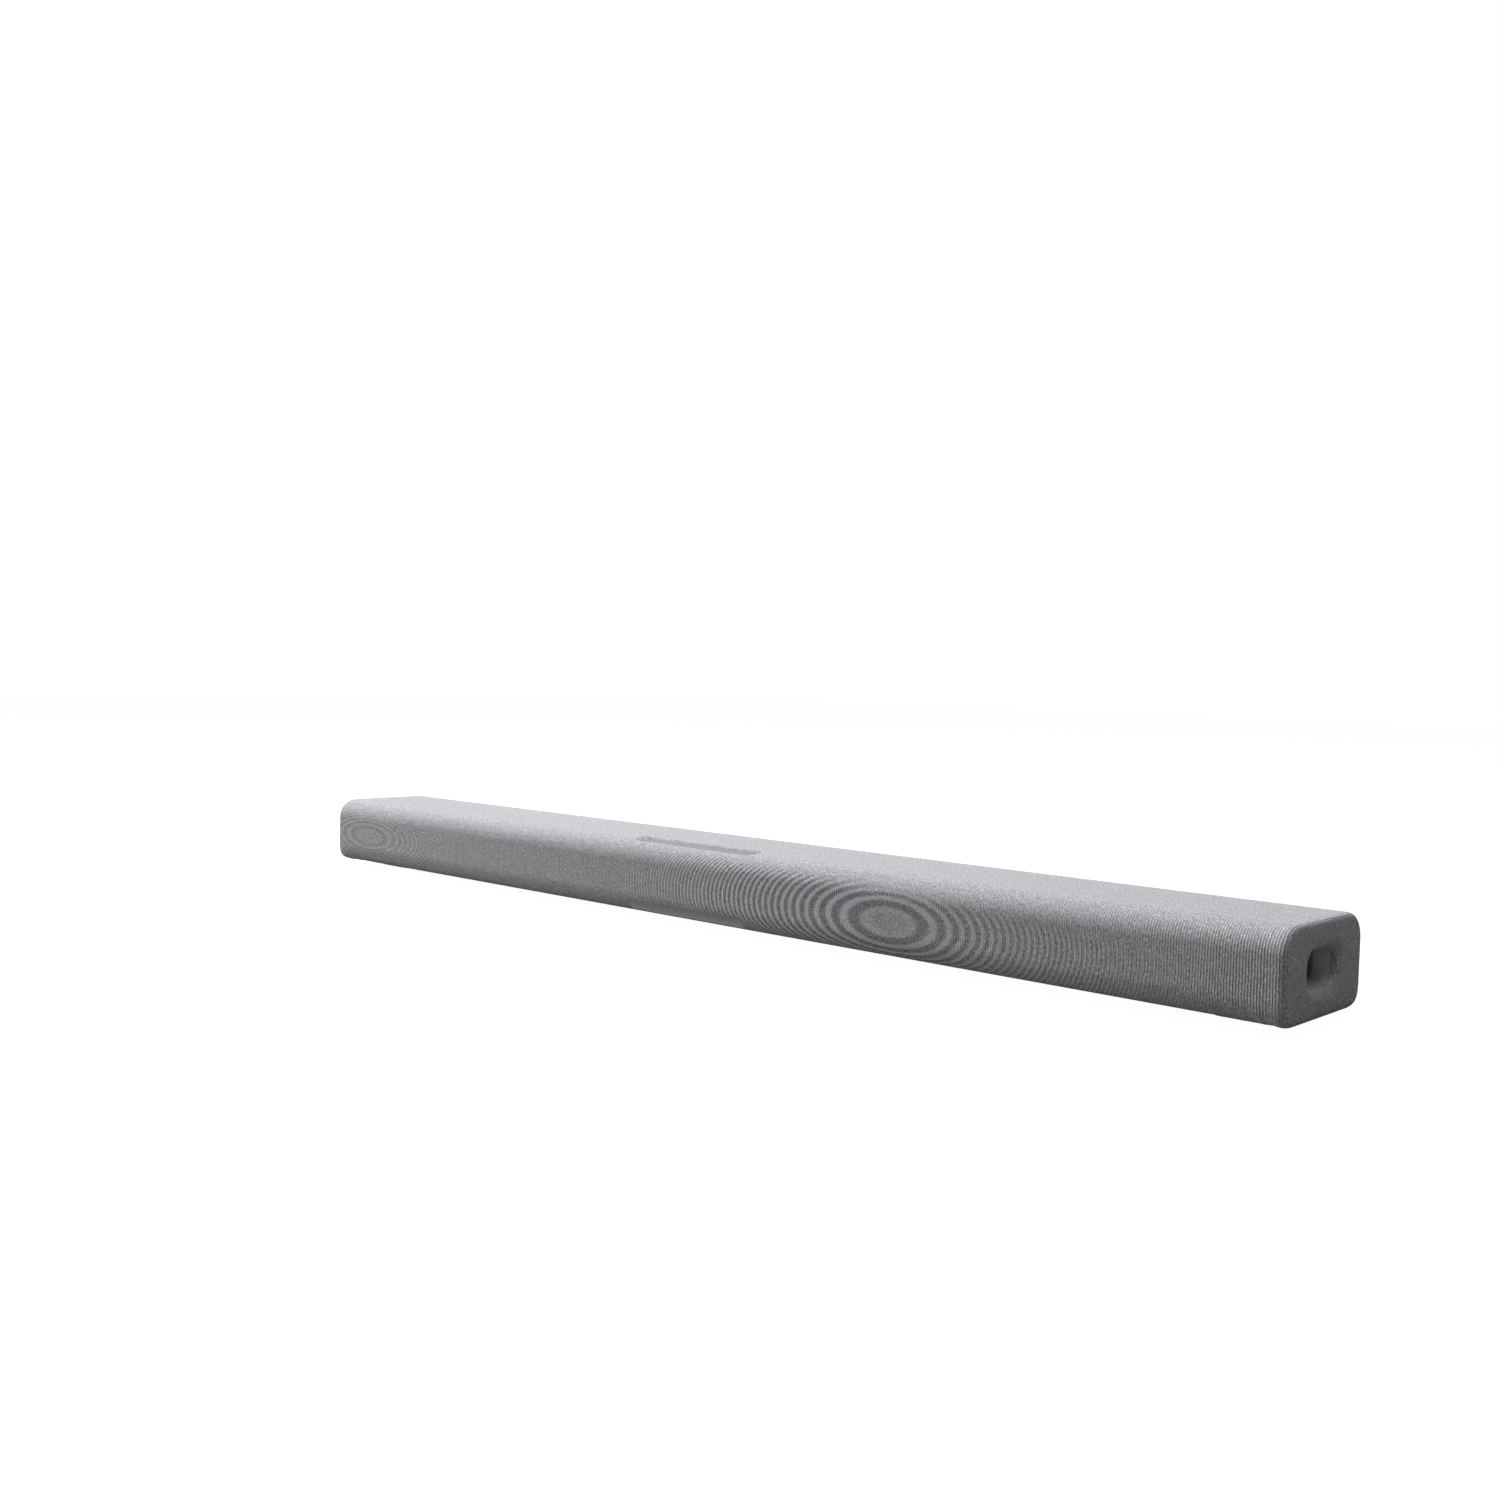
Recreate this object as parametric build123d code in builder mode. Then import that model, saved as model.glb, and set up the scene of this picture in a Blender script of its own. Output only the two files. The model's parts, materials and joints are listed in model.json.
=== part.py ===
"""Fabric-wrapped television soundbar. Millimetres, +Z up, origin on the floor under the bar's middle.

The listener is on the -Y side. A moulded housing with a base, a rear panel and two end caps
carries the drivers, the bass ports and the boards. A knitted sleeve is pulled over it, and two
broad rubber feet, set back under its middle, hold it off the shelf.
"""
import os
from math import cos, degrees, radians, sin, sqrt

from build123d import *

# Overall form
bar_length = 1018.0
bar_depth = 113.0
body_height = 62.0
foot_height = 6.0
corner_radius = 18.0
end_radius = 4.0
inner_end_radius = 0.6

# Walls and clearances
fabric_thickness = 1.2
fabric_gap = 0.1
wall = 2.5
panel_gap = 0.15
slip = 0.3
seat_gap = 0.1
end_cap_length = 14.0
panel_seam = 4.0

# Openings in the sleeve
base_margin = 16.0
base_opening_radius = 8.0
rear_field_length = 930.0
rear_field_height = 30.0
rear_field_radius = 4.0

# Touch recess on top
touch_length = 136.0
touch_width = 14.0
touch_depth = 3.0
touch_inset = 20.0
touch_strip_thickness = 0.8
touch_board_length = 120.0
touch_board_width = 11.0
touch_board_thickness = 1.0
touch_lamp_spacing = 74.0
touch_lamp_radius = 0.7
touch_lamp_margin = 3.0

# Indicator window along the lower front corner
indicator_length = 130.0
indicator_upper_angle = 22.0
indicator_lower_angle = 60.0
indicator_plate_recess = 0.1
indicator_count = 9
indicator_pitch = 9.2
indicator_offset = 19.5
indicator_angle = 30.0
indicator_pipe_radius = 0.8
indicator_board_width = 8.0
indicator_board_thickness = 1.0
indicator_board_gap = 1.2

# Bass ports, one in each end
port_width = 43.0
port_height = 25.0
port_corner = 11.0
port_flare = 5.0
port_lining = 5.5
port_boss_depth = 12.0
port_tube_wall = 2.0
port_tube_length = 68.0
port_flange = 4.0
port_flange_thickness = 2.0
port_gasket_thickness = 1.0
port_bell = 3.0
port_bell_length = 10.0

# Grille slots in front of the drivers
slot_width = 3.2
slot_pitch = 6.2

# Woofers
woofer_pitch = 65.0
woofer_from_tweeter = 112.0
woofer_wall_gap = 2.2
woofer_flange_corner = 6.0
woofer_flange_thickness = 2.0
woofer_collar = 7.0
woofer_window_margin = 0.5
basket_rim = 4.5
basket_taper = 5.1
basket_depth = 18.0
basket_wall = 1.8
basket_window_width = 14.0
basket_window_height = 9.0
spider_ledge = 2.0
spider_thickness = 0.6
surround_lip = 2.3
surround_thickness = 0.7
surround_roll = 1.9
surround_width = 3.5
cone_depth = 9.5
cone_thickness = 0.8
coil_radius = 7.0
coil_wall = 0.5
coil_length = 16.5
cap_height = 1.5
magnet_gap = 0.6
pole_gap = 0.5
top_plate_margin = 0.6
top_plate_thickness = 2.5
magnet_margin = 2.0
magnet_hole_radius = 9.0
magnet_thickness = 7.0
yoke_thickness = 3.0

# Tweeters
tweeter_inset = 97.0
tweeter_flange = 36.0
tweeter_flange_corner = 4.0
tweeter_flange_thickness = 2.0
tweeter_collar = 3.5
tweeter_window_radius = 11.0
dome_radius = 9.5
dome_height = 2.4
dome_thickness = 0.6
dome_skirt = 4.0
dome_setback = 1.0
tweeter_gap = 0.4
tweeter_cup_wall = 1.5
tweeter_magnet_radius = 14.0
tweeter_magnet_thickness = 4.6
tweeter_yoke_thickness = 2.0

# Screws
screw_radius = 1.45
screw_fit = 0.08
screw_hole_clearance = 0.35
screw_head_radius = 2.7
screw_head_height = 1.8
base_screw_length = 13.0
screw_edge = 5.0
screw_pitch = 72.0
screw_from_woofer = 20.0
screw_from_tweeter = 6.0
screw_from_foot = 13.0
end_screw_inset = 29.0
lug_width = 9.0
lug_reach = 4.0
lug_height = 13.0
rear_screw_inner = 140.0
rear_screw_middle = 230.0
rear_screw_inset = 35.0
rear_screw_rise = 11.0
rear_screw_length = 20.0
rear_boss_length = 12.0
rear_boss_drop = 4.5
driver_screw_inset = 3.6
driver_screw_length = 5.5
board_screw_length = 8.0

# Rubber feet
foot_length = 46.0
foot_width = 34.0
foot_corner = 6.0
foot_end_margin = 4.0
foot_recess = 1.0
foot_chamfer = 0.8

# Connector bay in the rear
bay_length = 200.0
bay_height = 22.0
bay_corner = 3.0
bay_depth = 26.0
bay_wall = 2.0
bay_lip = 1.6
bay_lip_thickness = 2.0
bay_draft = 2.0

# Keyhole hangers in the rear
keyhole_spacing = 640.0
keyhole_head_radius = 5.0
keyhole_neck_radius = 2.6
keyhole_travel = 9.0
keyhole_drop = 4.0
keyhole_margin = 1.0
keyhole_plate_width = 30.0
keyhole_plate_height = 26.0
keyhole_plate_below = 9.0
keyhole_plate_thickness = 1.2

# Boards
board_thickness = 1.6
board_drop = 6.0
board_setback = 20.5
board_edge_gap = 0.5
board_inner_x = 8.0
board_end_gap = 24.0
board_corner = 2.0
board_post_radius = 3.5
board_post_inset = 7.0

# Sockets on the rear edge of the boards
socket_fit = 0.2
inlet_x = -62.0
inlet_width = 24.0
inlet_height = 14.0
inlet_body_depth = 17.0
inlet_flange = 1.5
inlet_flange_thickness = 1.4
inlet_cavity_height = 8.4
inlet_cavity_depth = 14.0
inlet_pin_spacing = 8.6
inlet_pin_radius = 1.18
inlet_pin_setback = 1.5
inlet_web_height = 7.0
hdmi_x = (30.0, 51.0)
hdmi_width = 15.4
hdmi_height = 6.4
hdmi_depth = 12.0
hdmi_shell = 0.5
hdmi_tongue_width = 11.0
hdmi_tongue_thickness = 1.0
optical_x = 68.0
optical_width = 12.4
optical_height = 12.0
optical_depth = 15.0
optical_wall = 1.5
optical_cavity_depth = 12.0
shutter_thickness = 0.8
shutter_pin_radius = 0.6
shutter_pin_fit = 0.06
shutter_side_gap = 0.3
shutter_setback = 1.6
shutter_top_gap = 0.25
usb_x = 87.0
usb_width = 13.6
usb_height = 6.6
usb_depth = 13.0
usb_shell = 0.6
usb_tongue_width = 10.5
usb_tongue_thickness = 1.6

# Parts on the boards
capacitor_radius = 8.0
capacitor_height = 25.0
capacitor_pitch = 20.0
capacitor_end_margin = 38.0
capacitor_front_margin = 30.0
transformer_front_margin = 22.0
transformer_length = 32.0
transformer_width = 26.0
transformer_height = 24.0
transformer_core = 14.0
winding_length = 20.0
winding_height = 18.0
chip_size = 11.0
chip_thickness = 1.4
chip_pitch = 30.0
chip_front_margin = 16.0
chip_count = 3
heat_sink_length = 92.0
heat_sink_width = 24.0
heat_sink_base = 3.0
heat_sink_height = 16.0
heat_sink_fin = 1.2
heat_sink_fin_pitch = 4.6
module_end_margin = 36.0
module_rear_margin = 16.0
module_length = 32.0
module_width = 22.0
module_height = 3.2

# Derived places
sides = (-1, 1)
skin = fabric_thickness + fabric_gap
body_top = foot_height + body_height
body_mid = foot_height + body_height / 2
front_face = bar_depth / 2
shell_half_depth = front_face - skin
inner_half_depth = shell_half_depth - wall
shell_top = body_top - skin
inner_top = shell_top - wall
shell_bottom = foot_height + skin
inner_bottom = shell_bottom + wall
end_seam = bar_length / 2 - end_cap_length
seam_y = front_face - corner_radius + panel_seam
base_half_width = front_face - corner_radius
base_half_length = bar_length / 2 - base_margin
base_rim_top = foot_height + corner_radius - sqrt((corner_radius - skin - wall) ** 2 - panel_seam**2)
touch_y = touch_inset - front_face
touch_floor = body_top - touch_depth
board_top = body_mid - board_drop
board_bottom = board_top - board_thickness
bay_floor = front_face - bay_depth
board_rear = bay_floor - bay_wall - board_edge_gap
board_front = board_setback - front_face
woofer_seat = inner_half_depth - woofer_collar
tweeter_seat = inner_half_depth - tweeter_collar
corner_y = corner_radius - front_face
corner_z = foot_height + corner_radius
basket_floor = -woofer_flange_thickness - basket_depth
magnet_top = basket_floor - top_plate_thickness
yoke_top = magnet_top - magnet_thickness
tweeter_x = bar_length / 2 - tweeter_inset
woofer_outer_x = tweeter_x - woofer_from_tweeter
woofer_x = (woofer_outer_x - woofer_pitch, woofer_outer_x)
woofer_flange = body_height - 2 * (skin + wall + woofer_wall_gap)
basket_mouth_radius = woofer_flange / 2 - basket_rim
basket_floor_radius = basket_mouth_radius - basket_taper
woofer_window_radius = basket_mouth_radius + woofer_window_margin
cone_radius = basket_mouth_radius - surround_width
top_plate_radius = basket_floor_radius + top_plate_margin
magnet_radius = top_plate_radius + magnet_margin
board_length = woofer_x[0] - woofer_flange / 2 - board_end_gap - board_inner_x
board_end = board_inner_x + board_length
board_middle = board_inner_x + board_length / 2
rear_screw_z = body_mid + rear_screw_rise
rear_screw_columns = (rear_screw_inner, rear_screw_middle, rear_field_length / 2 - rear_screw_inset)
base_screw_seat = foot_height + screw_head_height
base_screw_tip = base_screw_seat + base_screw_length
foot_x = base_half_length - foot_end_margin - foot_length / 2
screw_row = base_half_width - screw_edge
woofer_screw_x = woofer_x[0] - woofer_flange / 2 - screw_from_woofer
screw_columns = (
    woofer_screw_x - screw_pitch,
    woofer_screw_x,
    woofer_outer_x + woofer_flange / 2 + screw_from_woofer,
    tweeter_x + tweeter_flange / 2 + screw_from_tweeter,
)
end_screw_x = bar_length / 2 - end_screw_inset
end_screw_y = foot_width / 2 + screw_from_foot
driver_fixings = (
    (woofer_seat, woofer_flange, woofer_flange_thickness, woofer_x),
    (tweeter_seat, tweeter_flange, tweeter_flange_thickness, (tweeter_x,)),
)
indicator_seat = corner_radius - skin - wall - indicator_board_gap
inlet_z = board_top + inlet_height / 2
optical_z = board_top + optical_height / 2
shutter_pivot_z = board_top + optical_height - optical_wall - shutter_top_gap - shutter_pin_radius
keyhole_z = body_mid - keyhole_drop

os.makedirs("parts", exist_ok=True)


def save(builder, name):
    """Labels a finished piece and writes it to a file of its own."""
    builder.part.label = name
    export_step(builder.part, f"parts/{name}.step")


def facing_front(x, distance, z):
    """A plane that looks out of the bar's front, at a distance before its middle."""
    return Plane(origin=(x, -distance, z), x_dir=(1, 0, 0), z_dir=(0, -1, 0))


def facing_rear(x, distance, z):
    """A plane that looks out of the bar's rear, at a distance behind its middle."""
    return Plane(origin=(x, distance, z), x_dir=(-1, 0, 0), z_dir=(0, 1, 0))


def port_outline(grow):
    """The port's rounded oblong, grown outwards, in a sketch on a YZ plane."""
    with Locations((0, body_mid)):
        RectangleRounded(port_width + 2 * grow, port_height + 2 * grow, port_corner + grow)


def bar_form(inset, port_depth, recess_depth):
    """The bar's outer form, moved inwards, with its two port mouths and its touch recess."""
    with BuildPart() as form:
        with BuildSketch(Plane.YZ.offset(inset - bar_length / 2)):
            with Locations((0, body_mid)):
                RectangleRounded(bar_depth - 2 * inset, body_height - 2 * inset, corner_radius - inset)
        extrude(amount=bar_length - 2 * inset)
        fillet(form.faces().filter_by(Axis.X).edges(), max(end_radius - inset, inner_end_radius))
        for side in sides:
            with BuildSketch(Plane.YZ.offset(side * bar_length / 2)):
                port_outline(inset)
            extrude(amount=-side * port_depth, mode=Mode.SUBTRACT)
        for end in (form.faces().sort_by(Axis.X)[-1], form.faces().sort_by(Axis.X)[0]):
            fillet(end.inner_wires()[0].edges(), port_flare - inset)
        with BuildSketch(Plane.XY.offset(body_top)):
            with Locations((0, touch_y)):
                SlotOverall(touch_length + 2 * inset, touch_width + 2 * inset)
        extrude(amount=-recess_depth, mode=Mode.SUBTRACT)
    return form.part


def corner_band(outer, inner, upper_angle, lower_angle, length):
    """A solid band of the given radii round the lower front corner, centred along the bar."""
    reach = 2 * outer
    upper = radians(upper_angle)
    lower = radians(lower_angle)
    with BuildPart() as band:
        with BuildSketch(Plane.YZ.offset(-length / 2)):
            with BuildLine():
                Polyline(
                    (corner_y, corner_z),
                    (corner_y - reach * cos(upper), corner_z - reach * sin(upper)),
                    (corner_y - reach * cos(lower), corner_z - reach * sin(lower)),
                    close=True,
                )
            make_face()
            with Locations((corner_y, corner_z)):
                Circle(outer, mode=Mode.INTERSECT)
                Circle(inner, mode=Mode.SUBTRACT)
        extrude(amount=length)
    return band.part


def facing_corner(x, radius):
    """A plane that looks out of the lower front corner, at a radius from the corner's centre."""
    turn = radians(indicator_angle)
    return Plane(
        origin=(x, corner_y - radius * cos(turn), corner_z - radius * sin(turn)),
        x_dir=(1, 0, 0),
        z_dir=(0, -cos(turn), -sin(turn)),
    )


def indicator_places(radius):
    """The corner planes of the indicator lights, from left to right."""
    first = indicator_offset - indicator_pitch * (indicator_count - 1) / 2
    return [facing_corner(first + index * indicator_pitch, radius) for index in range(indicator_count)]


def grille_slots(x, window_radius):
    """Upright slots that fill a round window, in a sketch on a plane that faces the front."""
    reach = int((window_radius - slot_width / 2) / slot_pitch)
    for step in range(-reach, reach + 1):
        offset = step * slot_pitch
        with Locations((x + offset, body_mid)):
            SlotOverall(2 * sqrt(window_radius**2 - offset**2), slot_width, rotation=90)


def screw(length):
    """A pan-head screw that points down, with the seat of its head at the origin."""
    with BuildPart() as fastener:
        Cylinder(screw_head_radius, screw_head_height, align=(Align.CENTER, Align.CENTER, Align.MIN))
        Cylinder(screw_radius, length, align=(Align.CENTER, Align.CENTER, Align.MAX))
    return fastener.part


def mirrored(values):
    """The same distances to the left and to the right of the middle."""
    return [side * value for side in sides for value in values]


def wall_ring():
    """The cabinet wall's cross-section, in a sketch on a YZ plane."""
    with Locations((0, body_mid)):
        RectangleRounded(2 * shell_half_depth, body_height - 2 * skin, corner_radius - skin)
        RectangleRounded(
            2 * inner_half_depth,
            body_height - 2 * (skin + wall),
            corner_radius - skin - wall,
            mode=Mode.SUBTRACT,
        )


def mid_wall_outline():
    """The cross-section within the middle of the cabinet's wall, in a sketch on a YZ plane."""
    with Locations((0, body_mid)):
        RectangleRounded(
            2 * inner_half_depth + wall,
            body_height - 2 * skin - wall,
            corner_radius - skin - wall / 2,
        )


def wall_block(width, near, bottom, top):
    """A block on the inside of the front wall, in the middle of the bar.

    It reaches from the wall to a distance before the bar's middle, and follows the wall's corners.
    """
    with BuildPart() as block:
        with BuildSketch(Plane.YZ.offset(-width / 2)):
            mid_wall_outline()
            with Locations((-near, bottom)):
                Rectangle(bar_depth, top - bottom, align=(Align.MAX, Align.MIN), mode=Mode.INTERSECT)
        extrude(amount=width)
    return block.part


def touch_pan():
    """The block under the top wall that the touch recess is sunk into, within the wall's corners."""
    with BuildPart() as pan:
        with BuildSketch(Plane.YZ.offset(-touch_length)):
            mid_wall_outline()
        extrude(amount=2 * touch_length)
        with BuildSketch(Plane.XY.offset(touch_floor - wall)):
            with Locations((0, touch_y)):
                SlotOverall(touch_length + 2 * (skin + wall), touch_width + 2 * (skin + wall))
        extrude(amount=body_height, mode=Mode.INTERSECT)
    return pan.part


def base_lugs(row):
    """Screw lugs along one long wall, just above the base, with their pilot holes."""
    lug_bottom = base_rim_top + panel_gap
    with BuildPart() as lugs:
        with Locations(*[Location((x, 0, 0)) for x in mirrored(screw_columns)]):
            add(wall_block(lug_width, screw_row - lug_reach, lug_bottom, lug_bottom + lug_height))
        if row > 0:
            mirror(about=Plane.XZ, mode=Mode.REPLACE)
        with BuildSketch(Plane.XY.offset(inner_bottom)):
            with Locations(*[(x, row * screw_row) for x in mirrored(screw_columns)]):
                Circle(screw_radius + screw_fit)
        extrude(amount=base_screw_tip + slip - inner_bottom, mode=Mode.SUBTRACT)
    return lugs.part


def base_screw_places():
    """Places of all the screws that hold the base: two long rows, and one at each end."""
    rows = [(x, row * screw_row) for row in sides for x in mirrored(screw_columns)]
    return rows + [(x, end_screw_y) for x in mirrored([end_screw_x])]


def flange_corners(flange):
    """Places of the four screws through a square driver flange, about its middle."""
    reach = flange / 2 - driver_screw_inset
    return [(i * reach, k * reach) for i in sides for k in sides]


def board_posts(side):
    """Places of the four posts under the board on one side of the middle."""
    near = board_inner_x + board_post_inset
    far = board_end - board_post_inset
    front = board_front + board_post_inset
    rear = board_rear - board_post_inset
    return [(side * x, y) for x in (near, far) for y in (front, rear)]


# ---- Knitted sleeve, open underneath, behind, at the indicator window and at the touch recess
with BuildPart() as fabric_wrap:
    add(bar_form(0, port_lining + wall, touch_depth + wall))
    add(bar_form(fabric_thickness, port_lining, touch_depth - seat_gap), mode=Mode.SUBTRACT)
    with BuildSketch(Plane.XY):
        RectangleRounded(2 * base_half_length, 2 * base_half_width, base_opening_radius)
    extrude(amount=foot_height + 2 * fabric_thickness, mode=Mode.SUBTRACT)
    with BuildSketch(facing_rear(0, front_face, body_mid)):
        RectangleRounded(rear_field_length, rear_field_height, rear_field_radius)
    extrude(amount=-2 * fabric_thickness, mode=Mode.SUBTRACT)
    add(
        corner_band(
            corner_radius + wall,
            corner_radius - wall,
            indicator_upper_angle,
            indicator_lower_angle,
            indicator_length,
        ),
        mode=Mode.SUBTRACT,
    )
save(fabric_wrap, "fabric_wrap")

# ---- Housing: front and top walls in one moulding, with the collars that carry the drivers
with BuildPart() as main_housing:
    with BuildSketch(Plane.YZ.offset(panel_gap - end_seam)):
        wall_ring()
        with Locations((-seam_y, body_mid)):
            Rectangle(bar_depth + seam_y, body_height, align=(Align.MIN, Align.MAX), mode=Mode.SUBTRACT)
        with Locations((seam_y, body_mid)):
            Rectangle(bar_depth, body_height, align=(Align.MIN, Align.CENTER), mode=Mode.SUBTRACT)
    extrude(amount=2 * (end_seam - panel_gap))
    with Locations(*[Location((x, 0, 0)) for x in mirrored(woofer_x)]):
        add(wall_block(woofer_flange, woofer_seat, inner_bottom, inner_top + wall / 2))
    with Locations(*[Location((x, 0, 0)) for x in mirrored([tweeter_x])]):
        add(wall_block(tweeter_flange, tweeter_seat, inner_bottom, inner_top + wall / 2))
    add(base_lugs(-1))
    add(touch_pan())
    with BuildSketch(Plane.XY.offset(touch_floor)):
        with Locations((0, touch_y)):
            SlotOverall(touch_length + 2 * skin, touch_width + 2 * skin)
    extrude(amount=touch_depth, mode=Mode.SUBTRACT)
    with BuildSketch(Plane.XY.offset(touch_floor)):
        with Locations((0, touch_y + touch_lamp_margin - touch_width / 2)):
            with GridLocations(touch_lamp_spacing, 0, 2, 1):
                Circle(touch_lamp_radius + socket_fit)
    extrude(amount=-wall, mode=Mode.SUBTRACT)
    # Bosses for the rear panel's screws
    with BuildSketch(facing_rear(0, seam_y, 0)):
        with Locations(*[(x, rear_screw_z - rear_boss_drop) for x in mirrored(rear_screw_columns)]):
            Rectangle(
                lug_width,
                inner_top + wall / 2 - rear_screw_z + rear_boss_drop,
                align=(Align.CENTER, Align.MIN),
            )
        with Locations(*[(x, rear_screw_z) for x in mirrored(rear_screw_columns)]):
            Circle(screw_radius + screw_fit, mode=Mode.SUBTRACT)
    extrude(amount=-rear_boss_length)
    # Driver collars and their grille slots
    with BuildSketch(facing_front(0, woofer_seat, 0)):
        with Locations(*[(x, body_mid) for x in mirrored(woofer_x)]):
            Circle(basket_mouth_radius + surround_lip + slip)
    extrude(amount=woofer_collar, mode=Mode.SUBTRACT)
    with BuildSketch(facing_front(0, tweeter_seat, 0)):
        with Locations(*[(x, body_mid) for x in mirrored([tweeter_x])]):
            Circle(tweeter_window_radius + slip)
    extrude(amount=tweeter_collar, mode=Mode.SUBTRACT)
    with BuildSketch(facing_front(0, inner_half_depth, 0)):
        for x in mirrored(woofer_x):
            grille_slots(x, woofer_window_radius)
        for x in mirrored([tweeter_x]):
            grille_slots(x, tweeter_window_radius)
    extrude(amount=wall + slip, mode=Mode.SUBTRACT)
    # Pilot holes for the driver screws
    for seat, flange, thickness, places in driver_fixings:
        with BuildSketch(facing_front(0, seat, 0)):
            for x in mirrored(places):
                with Locations(*[(x + u, body_mid + v) for u, v in flange_corners(flange)]):
                    Circle(screw_radius + screw_fit)
        extrude(amount=driver_screw_length - thickness + slip, mode=Mode.SUBTRACT)
    # Holes for the indicator's light pipes
    with Locations(*indicator_places(0)):
        Cylinder(
            indicator_pipe_radius + socket_fit,
            corner_radius,
            align=(Align.CENTER, Align.CENTER, Align.MIN),
            mode=Mode.SUBTRACT,
        )
save(main_housing, "main_housing")

# ---- Rear panel: the long plastic field that shows in the sleeve's rear opening
with BuildPart() as rear_panel:
    with BuildSketch(Plane.YZ.offset(panel_gap - end_seam)):
        wall_ring()
        with Locations((seam_y + panel_gap, body_mid)):
            Rectangle(
                bar_depth + seam_y,
                body_height,
                align=(Align.MAX, Align.CENTER),
                mode=Mode.SUBTRACT,
            )
    extrude(amount=2 * (end_seam - panel_gap))
    with BuildSketch(facing_rear(0, inner_half_depth + wall / 2, body_mid)):
        RectangleRounded(rear_field_length - 2 * slip, rear_field_height - 2 * slip, rear_field_radius - slip)
    extrude(amount=skin + wall / 2)
    add(base_lugs(1))
    with BuildSketch(facing_rear(0, front_face, body_mid)):
        RectangleRounded(
            bay_length + 2 * (bay_wall + socket_fit),
            bay_height + 2 * (bay_wall + socket_fit),
            bay_corner + bay_wall + socket_fit,
        )
    extrude(amount=-bay_depth, mode=Mode.SUBTRACT)
    # Bosses that meet the housing's
    with BuildSketch(facing_rear(0, seam_y + panel_gap, rear_screw_z)):
        with Locations(*[(x, 0) for x in mirrored(rear_screw_columns)]):
            Circle(rear_boss_drop)
    extrude(amount=shell_half_depth - wall / 2 - seam_y - panel_gap)
    # Keyholes
    with BuildSketch(facing_rear(0, front_face, keyhole_z)):
        for x in mirrored([keyhole_spacing / 2]):
            with Locations((x, 0)):
                Circle(keyhole_head_radius + keyhole_margin)
            with Locations((x, keyhole_travel / 2)):
                Rectangle(2 * (keyhole_neck_radius + keyhole_margin), keyhole_travel)
            with Locations((x, keyhole_travel)):
                Circle(keyhole_neck_radius + keyhole_margin)
    extrude(amount=-(skin + wall), mode=Mode.SUBTRACT)
    # Screw holes with sunk heads
    with BuildSketch(facing_rear(0, front_face, rear_screw_z)):
        with Locations(*[(x, 0) for x in mirrored(rear_screw_columns)]):
            Circle(screw_head_radius + slip)
    extrude(amount=-screw_head_height, mode=Mode.SUBTRACT)
    with BuildSketch(facing_rear(0, front_face, rear_screw_z)):
        with Locations(*[(x, 0) for x in mirrored(rear_screw_columns)]):
            Circle(screw_radius + screw_hole_clearance)
    extrude(amount=seam_y - front_face, mode=Mode.SUBTRACT)
save(rear_panel, "rear_panel")

# ---- Base panel: stepped so that its face lies flush with the sleeve's underside
with BuildPart() as base_panel:
    with BuildSketch(Plane.YZ.offset(panel_gap - end_seam)):
        wall_ring()
        Rectangle(2 * (seam_y - panel_gap), 2 * body_mid, mode=Mode.INTERSECT)
    extrude(amount=2 * (end_seam - panel_gap))
    with BuildSketch(Plane.XY.offset(foot_height)):
        RectangleRounded(
            2 * (base_half_length - slip),
            2 * (base_half_width - slip),
            base_opening_radius - slip,
        )
    extrude(amount=skin + wall / 2)
    with BuildSketch(Plane.XY.offset(inner_bottom)):
        with Locations(*[place for side in sides for place in board_posts(side)]):
            Circle(board_post_radius)
    extrude(amount=board_bottom - inner_bottom)
    with BuildSketch(Plane.XY.offset(board_bottom)):
        with Locations(*[place for side in sides for place in board_posts(side)]):
            Circle(screw_radius + screw_fit)
    extrude(amount=-board_screw_length, mode=Mode.SUBTRACT)
    # Recesses for the feet
    with BuildSketch(Plane.XY.offset(foot_height)):
        with Locations(*[(x, 0) for x in mirrored([foot_x])]):
            RectangleRounded(foot_length + 2 * slip, foot_width + 2 * slip, foot_corner + slip)
    extrude(amount=foot_recess, mode=Mode.SUBTRACT)
    # Screw holes with sunk heads
    with BuildSketch(Plane.XY.offset(foot_height)):
        with Locations(*base_screw_places()):
            Circle(screw_head_radius + slip)
    extrude(amount=screw_head_height, mode=Mode.SUBTRACT)
    with BuildSketch(Plane.XY.offset(foot_height)):
        with Locations(*base_screw_places()):
            Circle(screw_radius + screw_hole_clearance)
    extrude(amount=skin + wall, mode=Mode.SUBTRACT)
save(base_panel, "base_panel")


def end_cap(side):
    """The moulded cap of one end, with its port mouth and the lug that the base is screwed to."""
    seam = end_seam + panel_gap
    with BuildPart() as cap:
        add(bar_form(skin, 2 * end_cap_length, touch_depth))
        add(bar_form(skin + wall, port_boss_depth, touch_depth), mode=Mode.SUBTRACT)
        with Locations((side * seam, 0, body_mid)):
            Box(
                2 * bar_length,
                bar_depth,
                body_height,
                align=(Align.MAX if side > 0 else Align.MIN, Align.CENTER, Align.CENTER),
                mode=Mode.SUBTRACT,
            )
        with BuildSketch(Plane.XY.offset(inner_bottom + panel_gap)):
            with Locations((side * (end_screw_x - lug_reach), end_screw_y)):
                Rectangle(
                    bar_length / 2 - skin - wall / 2 - end_screw_x + lug_reach,
                    lug_width,
                    align=(Align.MIN if side > 0 else Align.MAX, Align.CENTER),
                )
        extrude(amount=lug_height)
        with BuildSketch(Plane.XY.offset(inner_bottom)):
            with Locations((side * end_screw_x, end_screw_y)):
                Circle(screw_radius + screw_fit)
        extrude(amount=base_screw_tip + slip - inner_bottom, mode=Mode.SUBTRACT)
    return cap


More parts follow.
